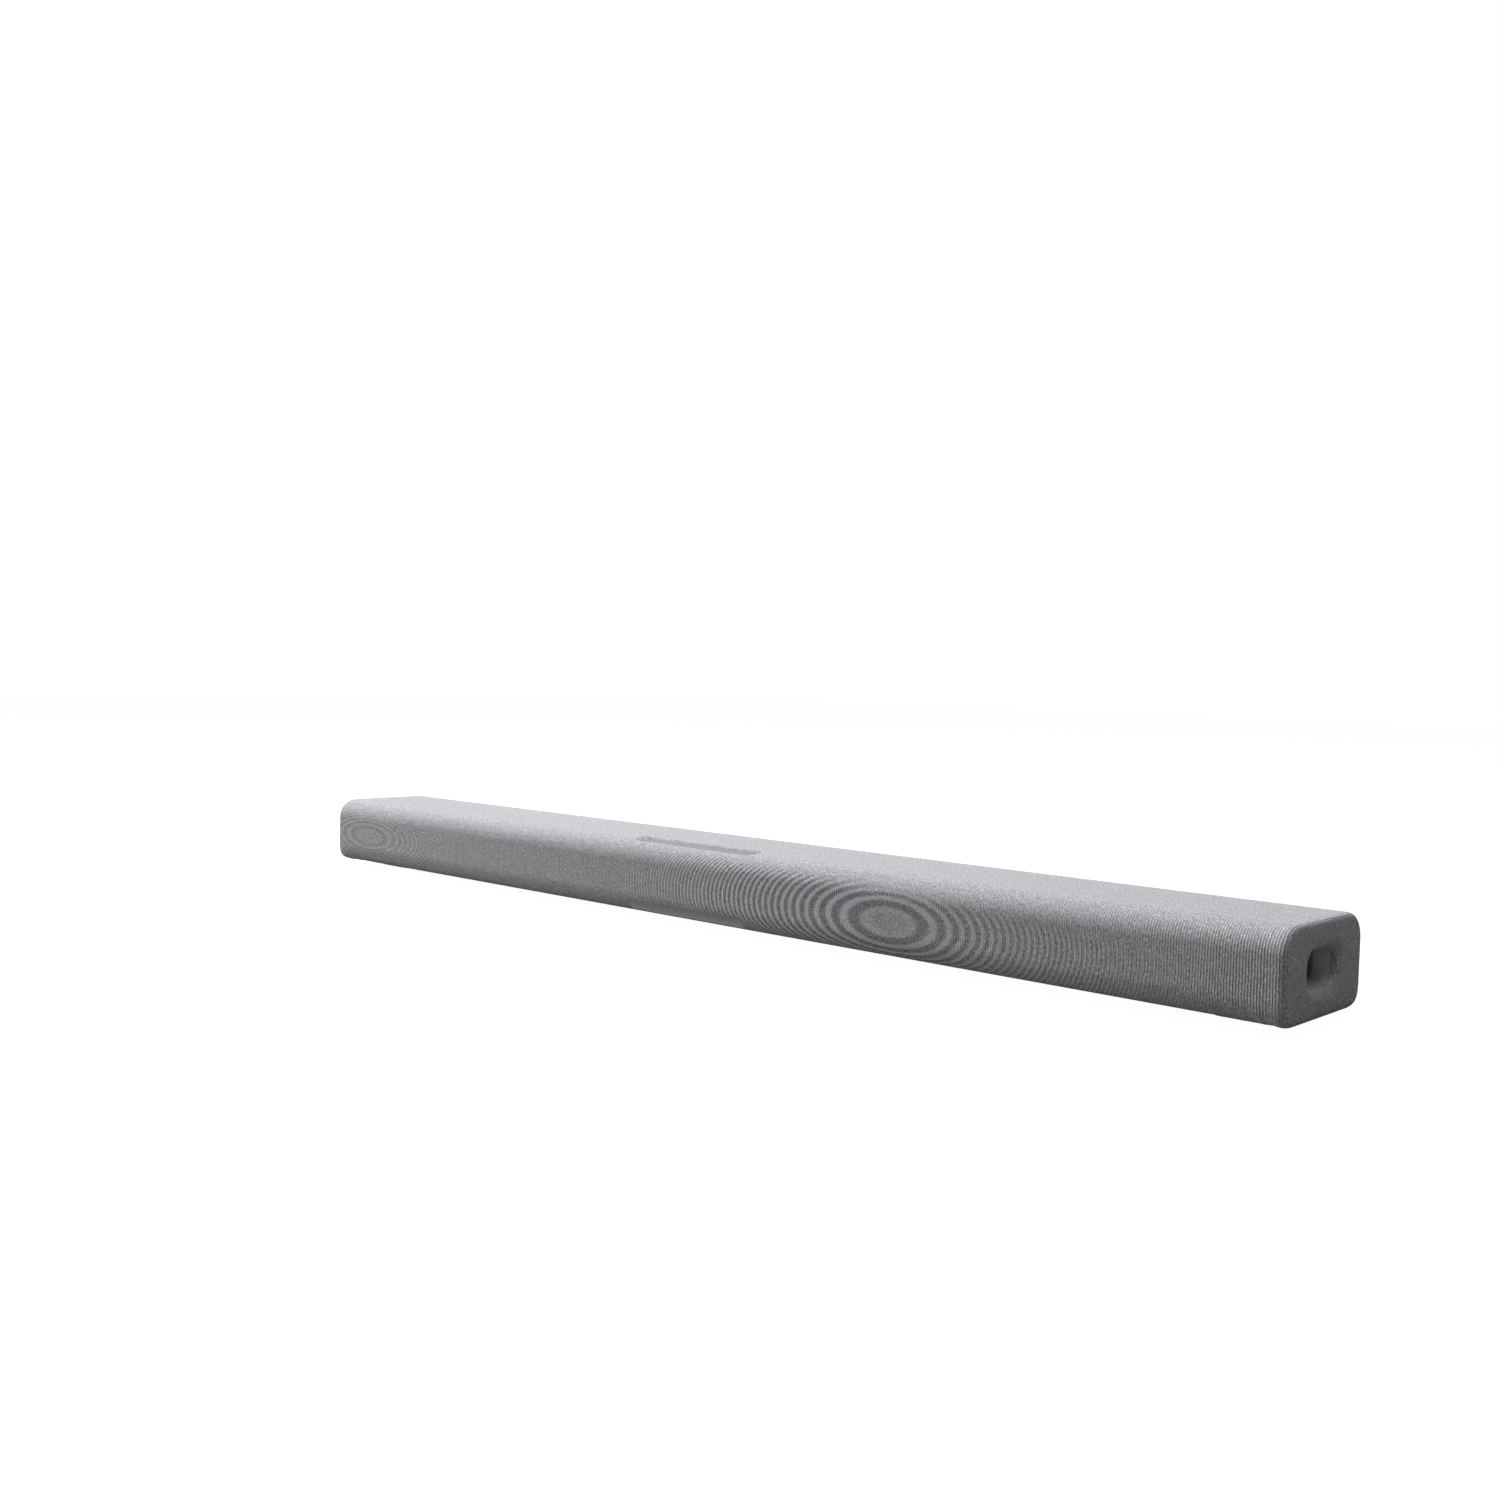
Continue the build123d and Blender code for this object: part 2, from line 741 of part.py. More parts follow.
left_end_cap = end_cap(-1)
save(left_end_cap, "left_end_cap")
right_end_cap = end_cap(1)
save(right_end_cap, "right_end_cap")


def port_section(distance, grow):
    """One section of the right-hand port at a distance from the bar's end, as a finished sketch."""
    with BuildSketch(Plane.YZ.offset(bar_length / 2 - distance)) as section:
        port_outline(grow)
    return section.sketch


def port_passage(steps):
    """A solid through the port sections that the steps name, each a distance and a growth."""
    with BuildPart() as passage:
        for (outer, outer_grow), (inner, inner_grow) in zip(steps, steps[1:]):
            add(
                loft(
                    [port_section(outer, outer_grow), port_section(inner, inner_grow)],
                    ruled=True,
                    mode=Mode.PRIVATE,
                )
            )
    return passage.part


def port_tube(side):
    """A bass port: a flared oblong tube, glued by its flange to the boss behind the end cap."""
    mouth = port_lining + seat_gap
    flange = port_boss_depth + port_gasket_thickness
    throat = mouth + port_bell_length
    inner_end = mouth + port_tube_length
    neck = port_tube_wall - port_bell
    outside = port_passage(
        [
            (mouth, fabric_thickness),
            (flange, fabric_thickness),
            (throat, neck),
            (inner_end - port_bell_length, neck),
            (inner_end, port_tube_wall),
        ]
    )
    inside = port_passage(
        [
            (mouth, 0),
            (throat, -port_bell),
            (inner_end - port_bell_length, -port_bell),
            (inner_end, 0),
        ]
    )
    with BuildPart() as tube:
        add(outside)
        with BuildSketch(Plane.YZ.offset(bar_length / 2 - flange - port_flange_thickness)):
            port_outline(skin + wall + port_flange)
        extrude(amount=port_flange_thickness)
        add(inside, mode=Mode.SUBTRACT)
        if side < 0:
            mirror(about=Plane.YZ, mode=Mode.REPLACE)
    return tube


port_tube_left = port_tube(-1)
save(port_tube_left, "port_tube_left")
port_tube_right = port_tube(1)
save(port_tube_right, "port_tube_right")

with BuildPart() as port_gaskets:
    for side in sides:
        with BuildSketch(Plane.YZ.offset(side * (bar_length / 2 - port_boss_depth))):
            port_outline(skin + wall)
            with Locations((0, body_mid)):
                RectangleRounded(
                    port_width + 2 * skin,
                    port_height + 2 * skin,
                    port_corner + skin,
                    mode=Mode.SUBTRACT,
                )
        extrude(amount=-side * port_gasket_thickness)
save(port_gaskets, "port_gaskets")

# ---- Touch strip, its two lamps and the board under the pan
touch_lamp_y = touch_y + touch_lamp_margin - touch_width / 2
with BuildPart() as touch_strip:
    with BuildSketch(Plane.XY.offset(touch_floor)):
        with Locations((0, touch_y)):
            SlotOverall(touch_length - 2 * panel_gap, touch_width - 2 * panel_gap)
        with Locations((0, touch_lamp_y)):
            with GridLocations(touch_lamp_spacing, 0, 2, 1):
                Circle(touch_lamp_radius + seat_gap, mode=Mode.SUBTRACT)
    extrude(amount=touch_strip_thickness)
save(touch_strip, "touch_strip")

with BuildPart() as touch_lamps:
    with BuildSketch(Plane.XY.offset(touch_floor - wall)):
        with Locations((0, touch_lamp_y)):
            with GridLocations(touch_lamp_spacing, 0, 2, 1):
                Circle(touch_lamp_radius)
    extrude(amount=wall + touch_strip_thickness)
save(touch_lamps, "touch_lamps")

with BuildPart() as touch_board:
    with BuildSketch(Plane.XY.offset(touch_floor - wall)):
        with Locations((0, touch_y)):
            RectangleRounded(touch_board_length, touch_board_width, board_corner)
    extrude(amount=-touch_board_thickness)
save(touch_board, "touch_board")

# ---- Indicator plate round the lower front corner, its light pipes and their board
plate_gap = degrees(panel_gap / corner_radius)
with BuildPart() as indicator_plate:
    add(
        corner_band(
            corner_radius - indicator_plate_recess,
            corner_radius - skin + seat_gap,
            indicator_upper_angle + plate_gap,
            indicator_lower_angle - plate_gap,
            indicator_length - 2 * panel_gap,
        )
    )
    with Locations(*indicator_places(0)):
        Cylinder(
            indicator_pipe_radius + seat_gap,
            corner_radius,
            align=(Align.CENTER, Align.CENTER, Align.MIN),
            mode=Mode.SUBTRACT,
        )
save(indicator_plate, "indicator_plate")

with BuildPart() as indicator_lights:
    with Locations(*indicator_places(indicator_seat)):
        Cylinder(
            indicator_pipe_radius,
            corner_radius - indicator_plate_recess - indicator_seat,
            align=(Align.CENTER, Align.CENTER, Align.MIN),
        )
save(indicator_lights, "indicator_lights")

with BuildPart() as indicator_board:
    with Locations(facing_corner(indicator_offset, indicator_seat)):
        Box(
            indicator_pitch * indicator_count,
            indicator_board_width,
            indicator_board_thickness,
            align=(Align.CENTER, Align.CENTER, Align.MAX),
        )
save(indicator_board, "indicator_board")

# ---- Rubber feet
with BuildPart() as rubber_feet:
    with BuildSketch():
        with Locations(*[(x, 0) for x in mirrored([foot_x])]):
            RectangleRounded(foot_length, foot_width, foot_corner)
    extrude(amount=foot_height + foot_recess)
    chamfer(rubber_feet.faces().filter_by(Axis.Z).group_by(Axis.Z)[0].edges(), foot_chamfer)
save(rubber_feet, "rubber_feet")

# ---- Screws
with BuildPart() as base_screws:
    with Locations(
        *[
            Plane(origin=(x, y, base_screw_seat), x_dir=(1, 0, 0), z_dir=(0, 0, -1))
            for x, y in base_screw_places()
        ]
    ):
        add(screw(base_screw_length))
save(base_screws, "base_screws")

with BuildPart() as rear_screws:
    with Locations(
        *[
            facing_rear(x, front_face - screw_head_height, rear_screw_z)
            for x in mirrored(rear_screw_columns)
        ]
    ):
        add(screw(rear_screw_length))
save(rear_screws, "rear_screws")

with BuildPart() as board_screws:
    with Locations(
        *[Location((x, y, board_top)) for side in sides for x, y in board_posts(side)]
    ):
        add(screw(board_screw_length))
save(board_screws, "board_screws")

with BuildPart() as driver_screws:
    for seat, flange, thickness, places in driver_fixings:
        with Locations(
            *[
                facing_rear(x + u, thickness - seat, body_mid + v)
                for x in mirrored(places)
                for u, v in flange_corners(flange)
            ]
        ):
            add(screw(driver_screw_length))
save(driver_screws, "driver_screws")

# ---- Keyhole plates behind the rear panel
with BuildPart() as keyhole_plates:
    with BuildSketch(facing_rear(0, inner_half_depth, keyhole_z)):
        for x in mirrored([keyhole_spacing / 2]):
            with Locations((x, keyhole_plate_height / 2 - keyhole_plate_below)):
                RectangleRounded(keyhole_plate_width, keyhole_plate_height, board_corner)
            with Locations((x, 0)):
                Circle(keyhole_head_radius, mode=Mode.SUBTRACT)
            with Locations((x, keyhole_travel / 2)):
                Rectangle(2 * keyhole_neck_radius, keyhole_travel, mode=Mode.SUBTRACT)
            with Locations((x, keyhole_travel)):
                Circle(keyhole_neck_radius, mode=Mode.SUBTRACT)
    extrude(amount=-keyhole_plate_thickness)
save(keyhole_plates, "keyhole_plates")

# ---- Connector bay: a tub with a lip behind the rear panel and cut-outs for the sockets
with BuildPart() as connector_bay:
    with BuildSketch(facing_rear(0, front_face, body_mid)):
        RectangleRounded(bay_length + 2 * bay_wall, bay_height + 2 * bay_wall, bay_corner + bay_wall)
    extrude(amount=-(bay_depth + bay_wall))
    with BuildSketch(facing_rear(0, inner_half_depth - seat_gap, body_mid)):
        RectangleRounded(
            bay_length + 2 * (bay_wall + bay_lip),
            bay_height + 2 * (bay_wall + bay_lip),
            bay_corner + bay_wall,
        )
    extrude(amount=-bay_lip_thickness)
    with BuildSketch(facing_rear(0, front_face, body_mid)):
        RectangleRounded(bay_length, bay_height, bay_corner)
    extrude(amount=-bay_depth, taper=bay_draft, mode=Mode.SUBTRACT)
    with BuildSketch(facing_front(0, -bay_floor, 0)):
        with Locations((inlet_x, inlet_z)):
            Rectangle(inlet_width + 2 * socket_fit, inlet_height + 2 * socket_fit)
        with Locations(*[(x, board_top + hdmi_height / 2) for x in hdmi_x]):
            Rectangle(hdmi_width + 2 * socket_fit, hdmi_height + 2 * socket_fit)
        with Locations((optical_x, optical_z)):
            Rectangle(optical_width + 2 * socket_fit, optical_height + 2 * socket_fit)
        with Locations((usb_x, board_top + usb_height / 2)):
            Rectangle(usb_width + 2 * socket_fit, usb_height + 2 * socket_fit)
    extrude(amount=bay_wall, mode=Mode.SUBTRACT)
save(connector_bay, "connector_bay")

# ---- Two-pole power inlet and its pins
with BuildPart() as power_inlet:
    with BuildSketch(facing_rear(0, bay_floor, inlet_z)):
        with Locations((-inlet_x, 0)):
            Rectangle(inlet_width, inlet_height)
    extrude(amount=-inlet_body_depth)
    with BuildSketch(facing_rear(0, bay_floor, inlet_z)):
        with Locations((-inlet_x, 0)):
            Rectangle(inlet_width + 2 * inlet_flange, inlet_height + 2 * inlet_flange)
    extrude(amount=inlet_flange_thickness)
    chamfer(power_inlet.faces().sort_by(Axis.Y)[-1].edges(), inlet_flange_thickness / 2)
    with BuildSketch(facing_rear(0, bay_floor + inlet_flange_thickness, inlet_z)):
        with Locations((-inlet_x, 0)):
            with GridLocations(inlet_pin_spacing, 0, 2, 1):
                Circle(inlet_cavity_height / 2)
            Rectangle(inlet_pin_spacing, inlet_web_height)
    extrude(amount=-inlet_cavity_depth, mode=Mode.SUBTRACT)
    with BuildSketch(facing_rear(0, bay_floor, inlet_z)):
        with Locations((-inlet_x, 0)):
            with GridLocations(inlet_pin_spacing, 0, 2, 1):
                Circle(inlet_pin_radius + shutter_pin_fit)
    extrude(amount=-inlet_body_depth, mode=Mode.SUBTRACT)
save(power_inlet, "power_inlet")

with BuildPart() as inlet_pins:
    with BuildSketch(facing_rear(0, bay_floor + inlet_flange_thickness - inlet_pin_setback, inlet_z)):
        with Locations((-inlet_x, 0)):
            with GridLocations(inlet_pin_spacing, 0, 2, 1):
                Circle(inlet_pin_radius)
    extrude(amount=-(inlet_body_depth + inlet_flange_thickness - inlet_pin_setback))
save(inlet_pins, "inlet_pins")


def socket_shell(width, height, depth, shell, tongue_width, tongue_thickness):
    """A metal receptacle with its tongue. Its mouth faces up, and its lower side is at Y 0."""
    with BuildPart() as socket:
        with BuildSketch():
            with Locations((0, height / 2)):
                Rectangle(width, height)
        extrude(amount=-depth)
        with BuildSketch():
            with Locations((0, height / 2)):
                Rectangle(width - 2 * shell, height - 2 * shell)
                Rectangle(tongue_width, tongue_thickness, mode=Mode.SUBTRACT)
        extrude(amount=shell - depth, mode=Mode.SUBTRACT)
    return socket.part


# ---- Signal sockets
with BuildPart() as hdmi_sockets:
    with Locations(*[facing_rear(x, bay_floor, board_top) for x in hdmi_x]):
        add(
            socket_shell(
                hdmi_width,
                hdmi_height,
                hdmi_depth,
                hdmi_shell,
                hdmi_tongue_width,
                hdmi_tongue_thickness,
            )
        )
save(hdmi_sockets, "hdmi_sockets")

with BuildPart() as usb_socket:
    with Locations(facing_rear(usb_x, bay_floor, board_top)):
        add(
            socket_shell(
                usb_width,
                usb_height,
                usb_depth,
                usb_shell,
                usb_tongue_width,
                usb_tongue_thickness,
            )
        )
save(usb_socket, "usb_socket")

with BuildPart() as optical_socket:
    with BuildSketch(facing_rear(optical_x, bay_floor, optical_z)):
        Rectangle(optical_width, optical_height)
    extrude(amount=-optical_depth)
    with BuildSketch(facing_rear(optical_x, bay_floor, optical_z)):
        Rectangle(optical_width - 2 * optical_wall, optical_height - 2 * optical_wall)
    extrude(amount=-optical_cavity_depth, mode=Mode.SUBTRACT)
    with Locations((optical_x, bay_floor - shutter_setback, shutter_pivot_z)):
        Cylinder(
            shutter_pin_radius + shutter_pin_fit,
            optical_width - optical_wall,
            rotation=(0, 90, 0),
            mode=Mode.SUBTRACT,
        )
save(optical_socket, "optical_socket")

with BuildPart() as optical_shutter:
    with Locations((optical_x, bay_floor - shutter_setback, shutter_pivot_z)):
        Cylinder(shutter_pin_radius, optical_width - optical_wall - 2 * seat_gap, rotation=(0, 90, 0))
        Box(
            optical_width - 2 * (optical_wall + shutter_side_gap),
            shutter_thickness,
            shutter_pivot_z - board_top - optical_wall - shutter_side_gap,
            align=(Align.CENTER, Align.CENTER, Align.MAX),
        )
save(optical_shutter, "optical_shutter")


def circuit_board(side):
    """One board on its four posts, to the left or right of the middle."""
    with BuildPart() as board:
        with BuildSketch(Plane.XY.offset(board_bottom)):
            with Locations((side * board_middle, (board_front + board_rear) / 2)):
                RectangleRounded(board_length, board_rear - board_front, board_corner)
            with Locations(*board_posts(side)):
                Circle(screw_radius + screw_hole_clearance, mode=Mode.SUBTRACT)
        extrude(amount=board_thickness)
    return board


# ---- Boards and what stands on them
power_board = circuit_board(-1)
save(power_board, "power_board")
main_board = circuit_board(1)
save(main_board, "main_board")

with BuildPart() as capacitors:
    with BuildSketch(Plane.XY.offset(board_top)):
        with Locations((capacitor_end_margin - board_end, board_front + capacitor_front_margin)):
            with GridLocations(capacitor_pitch, capacitor_pitch, 2, 2):
                Circle(capacitor_radius)
    extrude(amount=capacitor_height)
save(capacitors, "capacitors")

with BuildPart() as transformer:
    with Locations((inlet_x, board_front + transformer_front_margin, board_top)):
        Box(
            transformer_length,
            transformer_core,
            transformer_height,
            align=(Align.CENTER, Align.CENTER, Align.MIN),
        )
        Box(
            winding_length,
            transformer_width,
            winding_height,
            align=(Align.CENTER, Align.CENTER, Align.MIN),
        )
save(transformer, "transformer")

with BuildPart() as amplifier_chips:
    with BuildSketch(Plane.XY.offset(board_top)):
        with Locations((board_middle, board_front + chip_front_margin)):
            with GridLocations(chip_pitch, 0, chip_count, 1):
                Rectangle(chip_size, chip_size)
    extrude(amount=chip_thickness)
save(amplifier_chips, "amplifier_chips")

with BuildPart() as heat_sink:
    with BuildSketch(Plane.XZ.offset(-board_front - chip_front_margin - heat_sink_width / 2)):
        with Locations((board_middle, board_top + chip_thickness)):
            Rectangle(heat_sink_length, heat_sink_base, align=(Align.CENTER, Align.MIN))
            with Locations((0, heat_sink_base / 2)):
                with GridLocations(heat_sink_fin_pitch, 0, int(heat_sink_length / heat_sink_fin_pitch), 1):
                    Rectangle(
                        heat_sink_fin,
                        heat_sink_height - heat_sink_base / 2,
                        align=(Align.CENTER, Align.MIN),
                    )
    extrude(amount=heat_sink_width)
save(heat_sink, "heat_sink")

with BuildPart() as wireless_module:
    with Locations((board_end - module_end_margin, board_rear - module_rear_margin, board_top)):
        Box(module_length, module_width, module_height, align=(Align.CENTER, Align.CENTER, Align.MIN))
save(wireless_module, "wireless_module")

# ---- Woofers, each drawn about its own axis with its flange's front face at Z 0
spider_top = basket_floor + basket_wall + spider_ledge
with BuildPart() as basket:
    with BuildSketch():
        RectangleRounded(woofer_flange, woofer_flange, woofer_flange_corner)
        Circle(basket_mouth_radius, mode=Mode.SUBTRACT)
        with Locations(*flange_corners(woofer_flange)):
            Circle(screw_radius + screw_hole_clearance, mode=Mode.SUBTRACT)
    extrude(amount=-woofer_flange_thickness)
    with BuildSketch(Plane.XZ):
        with BuildLine():
            Polyline(
                (basket_mouth_radius, -woofer_flange_thickness),
                (basket_mouth_radius + basket_wall, -woofer_flange_thickness),
                (basket_floor_radius + basket_wall, basket_floor),
                (coil_radius + magnet_gap, basket_floor),
                (coil_radius + magnet_gap, basket_floor + basket_wall),
                (basket_floor_radius - spider_ledge, basket_floor + basket_wall),
                (basket_floor_radius - spider_ledge, spider_top),
                (basket_floor_radius, spider_top),
                close=True,
            )
        make_face()
    revolve(axis=Axis.Z)
    with BuildSketch(Plane.XY.offset(-woofer_flange_thickness - basket_wall)):
        with PolarLocations(basket_mouth_radius, 4):
            Rectangle(basket_mouth_radius, basket_window_width)
    extrude(amount=-basket_window_height, mode=Mode.SUBTRACT)

roll_outer = basket_mouth_radius
roll_inner = cone_radius + slip
roll_shoulder = (roll_outer - roll_inner) / 4
with BuildPart() as surround:
    with BuildSketch(Plane.XZ):
        with BuildLine():
            Polyline(
                (roll_outer + surround_lip, 0),
                (roll_outer + surround_lip, surround_thickness),
                (roll_outer, surround_thickness),
                (roll_outer - roll_shoulder, surround_roll + surround_thickness),
                (roll_inner + roll_shoulder, surround_roll + surround_thickness),
                (roll_inner, surround_thickness),
                (roll_inner, 0),
                (roll_inner + roll_shoulder, surround_roll),
                (roll_outer - roll_shoulder, surround_roll),
                (roll_outer, 0),
                close=True,
            )
        make_face()
    revolve(axis=Axis.Z)

with BuildPart() as spider:
    with BuildSketch(Plane.XZ):
        with BuildLine():
            Polyline(
                (coil_radius + slip, spider_top),
                ((basket_floor_radius + coil_radius) / 2, spider_top + spider_ledge / 2),
                (basket_floor_radius - spider_ledge, spider_top),
                (basket_floor_radius - seat_gap, spider_top),
                (basket_floor_radius - seat_gap, spider_top + spider_thickness),
                (basket_floor_radius - spider_ledge, spider_top + spider_thickness),
                (
                    (basket_floor_radius + coil_radius) / 2,
                    spider_top + spider_ledge / 2 + spider_thickness,
                ),
                (coil_radius + slip, spider_top + spider_thickness),
                close=True,
            )
        make_face()
    revolve(axis=Axis.Z)

with BuildPart() as cone:
    with BuildSketch(Plane.XZ):
        with BuildLine():
            Polyline(
                (0, cap_height - cone_depth),
                (coil_radius, -cone_depth),
                (cone_radius - cone_thickness, 0),
                (cone_radius, 0),
                (cone_radius, -cone_thickness),
                (coil_radius, -cone_depth - cone_thickness),
                (coil_radius, -cone_depth - coil_length),
                (coil_radius - coil_wall, -cone_depth - coil_length),
                (coil_radius - coil_wall, -cone_depth - cone_thickness),
                (0, cap_height - cone_depth - cone_thickness),
                close=True,
            )
        make_face()
    revolve(axis=Axis.Z)

with BuildPart() as yoke:
    with BuildSketch(Plane.XY.offset(yoke_top)):
        Circle(top_plate_radius)
    extrude(amount=-yoke_thickness)
    with BuildSketch(Plane.XY.offset(yoke_top)):
        Circle(coil_radius - coil_wall - pole_gap)
    extrude(amount=basket_floor - yoke_top)

woofer_places = [facing_front(x, woofer_seat, body_mid) for x in mirrored(woofer_x)]


def driver_group(form, places, name):
    """The same piece of several drivers, in one node."""
    with BuildPart() as group:
        with Locations(*places):
            add(form)
    save(group, name)
    return group


woofer_frames = driver_group(basket.part, woofer_places, "woofer_frames")
woofer_surrounds = driver_group(surround.part, woofer_places, "woofer_surrounds")
woofer_spiders = driver_group(spider.part, woofer_places, "woofer_spiders")
woofer_yokes = driver_group(yoke.part, woofer_places, "woofer_yokes")
with BuildPart() as top_plate:
    with BuildSketch(Plane.XY.offset(magnet_top)):
        Circle(top_plate_radius)
        Circle(coil_radius + magnet_gap, mode=Mode.SUBTRACT)
    extrude(amount=top_plate_thickness)
woofer_top_plates = driver_group(top_plate.part, woofer_places, "woofer_top_plates")
with BuildPart() as magnet:
    with BuildSketch(Plane.XY.offset(yoke_top)):
        Circle(magnet_radius)
        Circle(magnet_hole_radius, mode=Mode.SUBTRACT)
    extrude(amount=magnet_thickness)
woofer_magnets = driver_group(magnet.part, woofer_places, "woofer_magnets")

cone_names = ("left_inner", "left_outer", "right_inner", "right_outer")
for place, name in zip(woofer_places, cone_names):
    driver_group(cone.part, [place], f"woofer_cone_{name}")

# ---- Tweeters, drawn in the same way
with BuildPart() as tweeter_frame:
    with BuildSketch():
        RectangleRounded(tweeter_flange, tweeter_flange, tweeter_flange_corner)
        Circle(dome_radius + slip, mode=Mode.SUBTRACT)
        with Locations(*flange_corners(tweeter_flange)):
            Circle(screw_radius + screw_hole_clearance, mode=Mode.SUBTRACT)
    extrude(amount=-tweeter_flange_thickness)
    with BuildSketch(Plane.XY.offset(-tweeter_flange_thickness)):
        Circle(tweeter_magnet_radius + seat_gap + tweeter_cup_wall)
        Circle(tweeter_magnet_radius + seat_gap, mode=Mode.SUBTRACT)
    extrude(amount=-(tweeter_magnet_thickness + tweeter_yoke_thickness))

dome_sphere = (dome_radius**2 + dome_height**2) / (2 * dome_height)
dome_centre = dome_height - dome_setback - dome_sphere
with BuildPart() as dome:
    with BuildSketch(Plane.XZ):
        with BuildLine():
            Polyline(
                (0, dome_height - dome_setback),
                (0, dome_height - dome_setback - dome_thickness),
                (dome_radius - dome_thickness, -dome_setback - dome_thickness),
                (dome_radius - dome_thickness, -dome_setback - dome_skirt),
                (dome_radius, -dome_setback - dome_skirt),
                (dome_radius, -dome_setback),
            )
            ThreePointArc(
                (dome_radius, -dome_setback),
                (dome_radius / 2, dome_centre + sqrt(dome_sphere**2 - dome_radius**2 / 4)),
                (0, dome_height - dome_setback),
            )
        make_face()
    revolve(axis=Axis.Z)

with BuildPart() as tweeter_magnet:
    with BuildSketch(Plane.XY.offset(-tweeter_flange_thickness)):
        Circle(tweeter_magnet_radius)
        Circle(dome_radius + tweeter_gap, mode=Mode.SUBTRACT)
    extrude(amount=-tweeter_magnet_thickness)

with BuildPart() as tweeter_yoke:
    with BuildSketch(Plane.XY.offset(-tweeter_flange_thickness - tweeter_magnet_thickness)):
        Circle(tweeter_magnet_radius)
    extrude(amount=-tweeter_yoke_thickness)
    with BuildSketch(Plane.XY.offset(-tweeter_flange_thickness - tweeter_magnet_thickness)):
        Circle(dome_radius - dome_thickness - tweeter_gap)
    extrude(amount=tweeter_magnet_thickness)

tweeter_places = [facing_front(x, tweeter_seat, body_mid) for x in mirrored([tweeter_x])]
tweeter_frames = driver_group(tweeter_frame.part, tweeter_places, "tweeter_frames")
tweeter_magnets = driver_group(tweeter_magnet.part, tweeter_places, "tweeter_magnets")
tweeter_yokes = driver_group(tweeter_yoke.part, tweeter_places, "tweeter_yokes")
for place, name in zip(tweeter_places, ("left", "right")):
    driver_group(dome.part, [place], f"tweeter_dome_{name}")
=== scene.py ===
import json
import math
import random

import bmesh
import bpy
from mathutils import Matrix, Vector, noise


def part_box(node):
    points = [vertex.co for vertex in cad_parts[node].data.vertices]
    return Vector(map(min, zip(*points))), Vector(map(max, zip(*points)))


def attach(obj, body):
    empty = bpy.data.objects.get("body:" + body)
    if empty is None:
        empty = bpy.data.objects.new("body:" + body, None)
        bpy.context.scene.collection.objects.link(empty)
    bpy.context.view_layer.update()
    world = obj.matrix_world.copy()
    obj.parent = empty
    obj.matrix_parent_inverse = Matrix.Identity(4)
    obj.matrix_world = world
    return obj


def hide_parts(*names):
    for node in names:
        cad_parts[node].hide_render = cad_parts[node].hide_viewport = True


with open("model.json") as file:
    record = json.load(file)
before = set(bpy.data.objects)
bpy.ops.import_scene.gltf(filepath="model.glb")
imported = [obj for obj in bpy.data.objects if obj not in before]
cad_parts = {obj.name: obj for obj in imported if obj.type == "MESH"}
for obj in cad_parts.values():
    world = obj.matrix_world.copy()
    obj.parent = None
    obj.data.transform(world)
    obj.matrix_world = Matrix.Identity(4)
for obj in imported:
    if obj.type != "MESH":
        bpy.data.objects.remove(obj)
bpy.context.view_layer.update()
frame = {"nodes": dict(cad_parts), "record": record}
cadNodes = frame["nodes"]
print("frame loaded with", len(cadNodes), "nodes")

hair = 1e-5     # how far off a plane a face may lie and still be picked as one in it
spare = 0.01    # how far a cutter reaches past the surface that it opens


# Turns an sRGB hex value into the linear colour that a shader works in
def linearColour(code):
    parts = [int(code[i:i + 2], 16) / 255 for i in (0, 2, 4)]
    return (*[p / 12.92 if p <= 0.04045 else ((p + 0.055) / 1.055) ** 2.4 for p in parts], 1.0)


# Adds one node with its settings; each input, by name or number, takes a value, a socket or a node's first output
def addNode(tree, kind, settings=None, inputs=None):
    node = tree.nodes.new(kind)
    for name, value in (settings or {}).items():
        setattr(node, name, value)
    for name, value in (inputs or {}).items():
        if isinstance(value, bpy.types.Node):
            value = value.outputs[0]
        if isinstance(value, bpy.types.NodeSocket):
            tree.links.new(value, node.inputs[name])
        else:
            node.inputs[name].default_value = value
    return node


# Starts a material that holds one shader
def startMaterial(name):
    material = bpy.data.materials.new(name)
    material.use_nodes = True
    tree = material.node_tree
    tree.nodes.clear()
    shader = addNode(tree, "ShaderNodeBsdfPrincipled")
    addNode(tree, "ShaderNodeOutputMaterial", None, {"Surface": shader})
    return material, tree, shader


# Sets a shader's own sockets
def setShader(shader, **values):
    names = {"roughness": "Roughness", "metallic": "Metallic", "ior": "IOR", "specular": "Specular IOR Level",
             "sheen": "Sheen Weight", "sheenRoughness": "Sheen Roughness", "coat": "Coat Weight",
             "coatRoughness": "Coat Roughness", "emission": "Emission Strength"}
    for name, value in values.items():
        shader.inputs[names[name]].default_value = value


# Selects the edges or faces of a piece whose middle and direction pass a test
def pick(piece, kind, test):
    bpy.ops.object.mode_set(mode="OBJECT")
    bpy.ops.object.select_all(action="DESELECT")
    bpy.context.view_layer.objects.active = piece
    piece.select_set(True)
    bpy.ops.object.mode_set(mode="EDIT")
    bpy.ops.mesh.select_mode(type=kind)
    bpy.ops.mesh.select_all(action="DESELECT")
    mesh = bmesh.from_edit_mesh(piece.data)
    if kind == "EDGE":
        for item in mesh.edges:
            a, b = item.verts[0].co, item.verts[1].co
            item.select_set(test((a + b) / 2, (b - a).normalized()))
    else:
        for item in mesh.faces:
            item.select_set(test(item.calc_center_median(), item.normal))
    bmesh.update_edit_mesh(piece.data)


